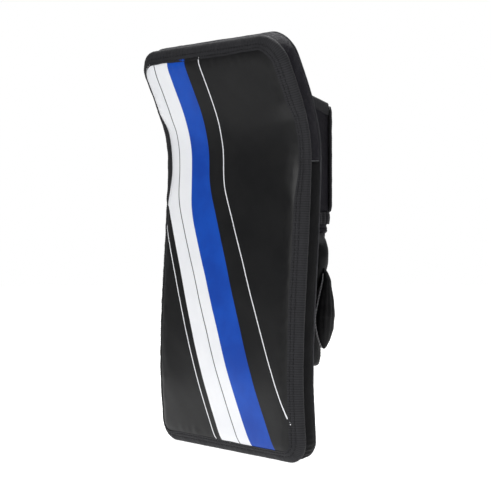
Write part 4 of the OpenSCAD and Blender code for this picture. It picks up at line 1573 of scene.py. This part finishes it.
def stage():
    """The white floor. Only bounced light sees its glow, which fades in front of the part."""
    s = Shader("floor", rough=0.9, spec=0.0)
    n = s.noise(s.object_space(), 6.0, 2.0)
    mat = s.done(s.mix(n, (0.34, 0.34, 0.34), (0.37, 0.37, 0.37)))
    side = s.node("VectorMath", {0: s.object_space(), 1: (-0.508, -0.861, 0)}, operation="DOT_PRODUCT")
    glow = s.span(side.outputs["Value"], 0.20, 0.34, 0.95, 0.0)
    s.bsdf.inputs["Emission Color"].default_value = (1, 1, 1, 1)
    seen = s.node("LightPath").outputs["Is Camera Ray"]
    s.nt.links.new(s.math("MAXIMUM", glow, seen), s.bsdf.inputs["Emission Strength"])
    b = Build()
    a = angles(96)
    rows = [
        np.column_stack([r * np.cos(a), 25 + r * np.sin(a), np.full(96, FLOOR_Z)])
        for r in (10, 200, 700, 2600)
    ]
    g = b.grid(np.array(rows), wrap_v=True)
    b.cap(g[0], (0, 25, FLOOR_Z))
    b.make("floor", mat)


def world():
    """Even white for the camera, and a dimmer light from one side for everything else."""
    w = bpy.data.worlds.new("studio")
    bpy.context.scene.world = w
    w.use_nodes = True
    tree = w.node_tree
    white = tree.nodes["Background"]
    white.inputs[0].default_value = (1, 1, 1, 1)
    way = add_node(tree, "TexCoord").outputs["Generated"]
    dot = add_node(tree, "VectorMath", {0: way, 1: (-0.62, 0.78, 0.0)}, operation="DOT_PRODUCT")
    levels = {0: dot.outputs["Value"], 1: 0.05, 2: 0.75, 3: 0.10, 4: 0.5}
    level = add_node(tree, "MapRange", levels, interpolation_type="SMOOTHSTEP")
    dim = add_node(tree, "Background", {0: (0.97, 0.98, 1.0, 1), 1: level.outputs[0]})
    seen = add_node(tree, "LightPath").outputs["Is Camera Ray"]
    mix = add_node(tree, "MixShader", {0: seen, 1: dim.outputs[0], 2: white.outputs[0]})
    tree.links.new(mix.outputs[0], tree.nodes["World Output"].inputs[0])


def softbox(name, at, target, size, power):
    light = bpy.data.lights.new(name, "AREA")
    light.shape, light.size, light.size_y = "RECTANGLE", size[0], size[1]
    light.energy = power
    ob = bpy.data.objects.new(name, light)
    ob.location = at
    ob.rotation_euler = (Vector(target) - Vector(at)).to_track_quat("-Z", "Y").to_euler()
    bpy.context.scene.collection.objects.link(ob)


stage()
world()
# Name, place, aim, size in metres and power in watts
softbox("key", (0.42, -1.8, 1.15), (0, 0, 0.17), (1.3, 1.3), 28)
softbox("top", (-0.1, 0.6, 1.7), (0, 0, 0.15), (1.4, 1.0), 48)

# The camera as fitted to the photo's outline
CAMERA_AT, CAMERA_LENS, SENSOR_WIDTH = (0.8459, -0.7130, 0.1938), 98.44, 36.0
look = Vector((-0.75645, 0.65360, -0.02436))
right = Vector((0.65385, 0.75662, -0.00305))
up = right.cross(look)
cam = bpy.data.cameras.new("camera")
cam.lens, cam.sensor_width = CAMERA_LENS, SENSOR_WIDTH
cam_ob = bpy.data.objects.new("camera", cam)
rot = Matrix((right, up, -look)).transposed().to_4x4()
cam_ob.matrix_world = Matrix.Translation(CAMERA_AT) @ rot
bpy.context.scene.collection.objects.link(cam_ob)
bpy.context.scene.camera = cam_ob
bpy.context.scene.view_settings.view_transform = "Standard"
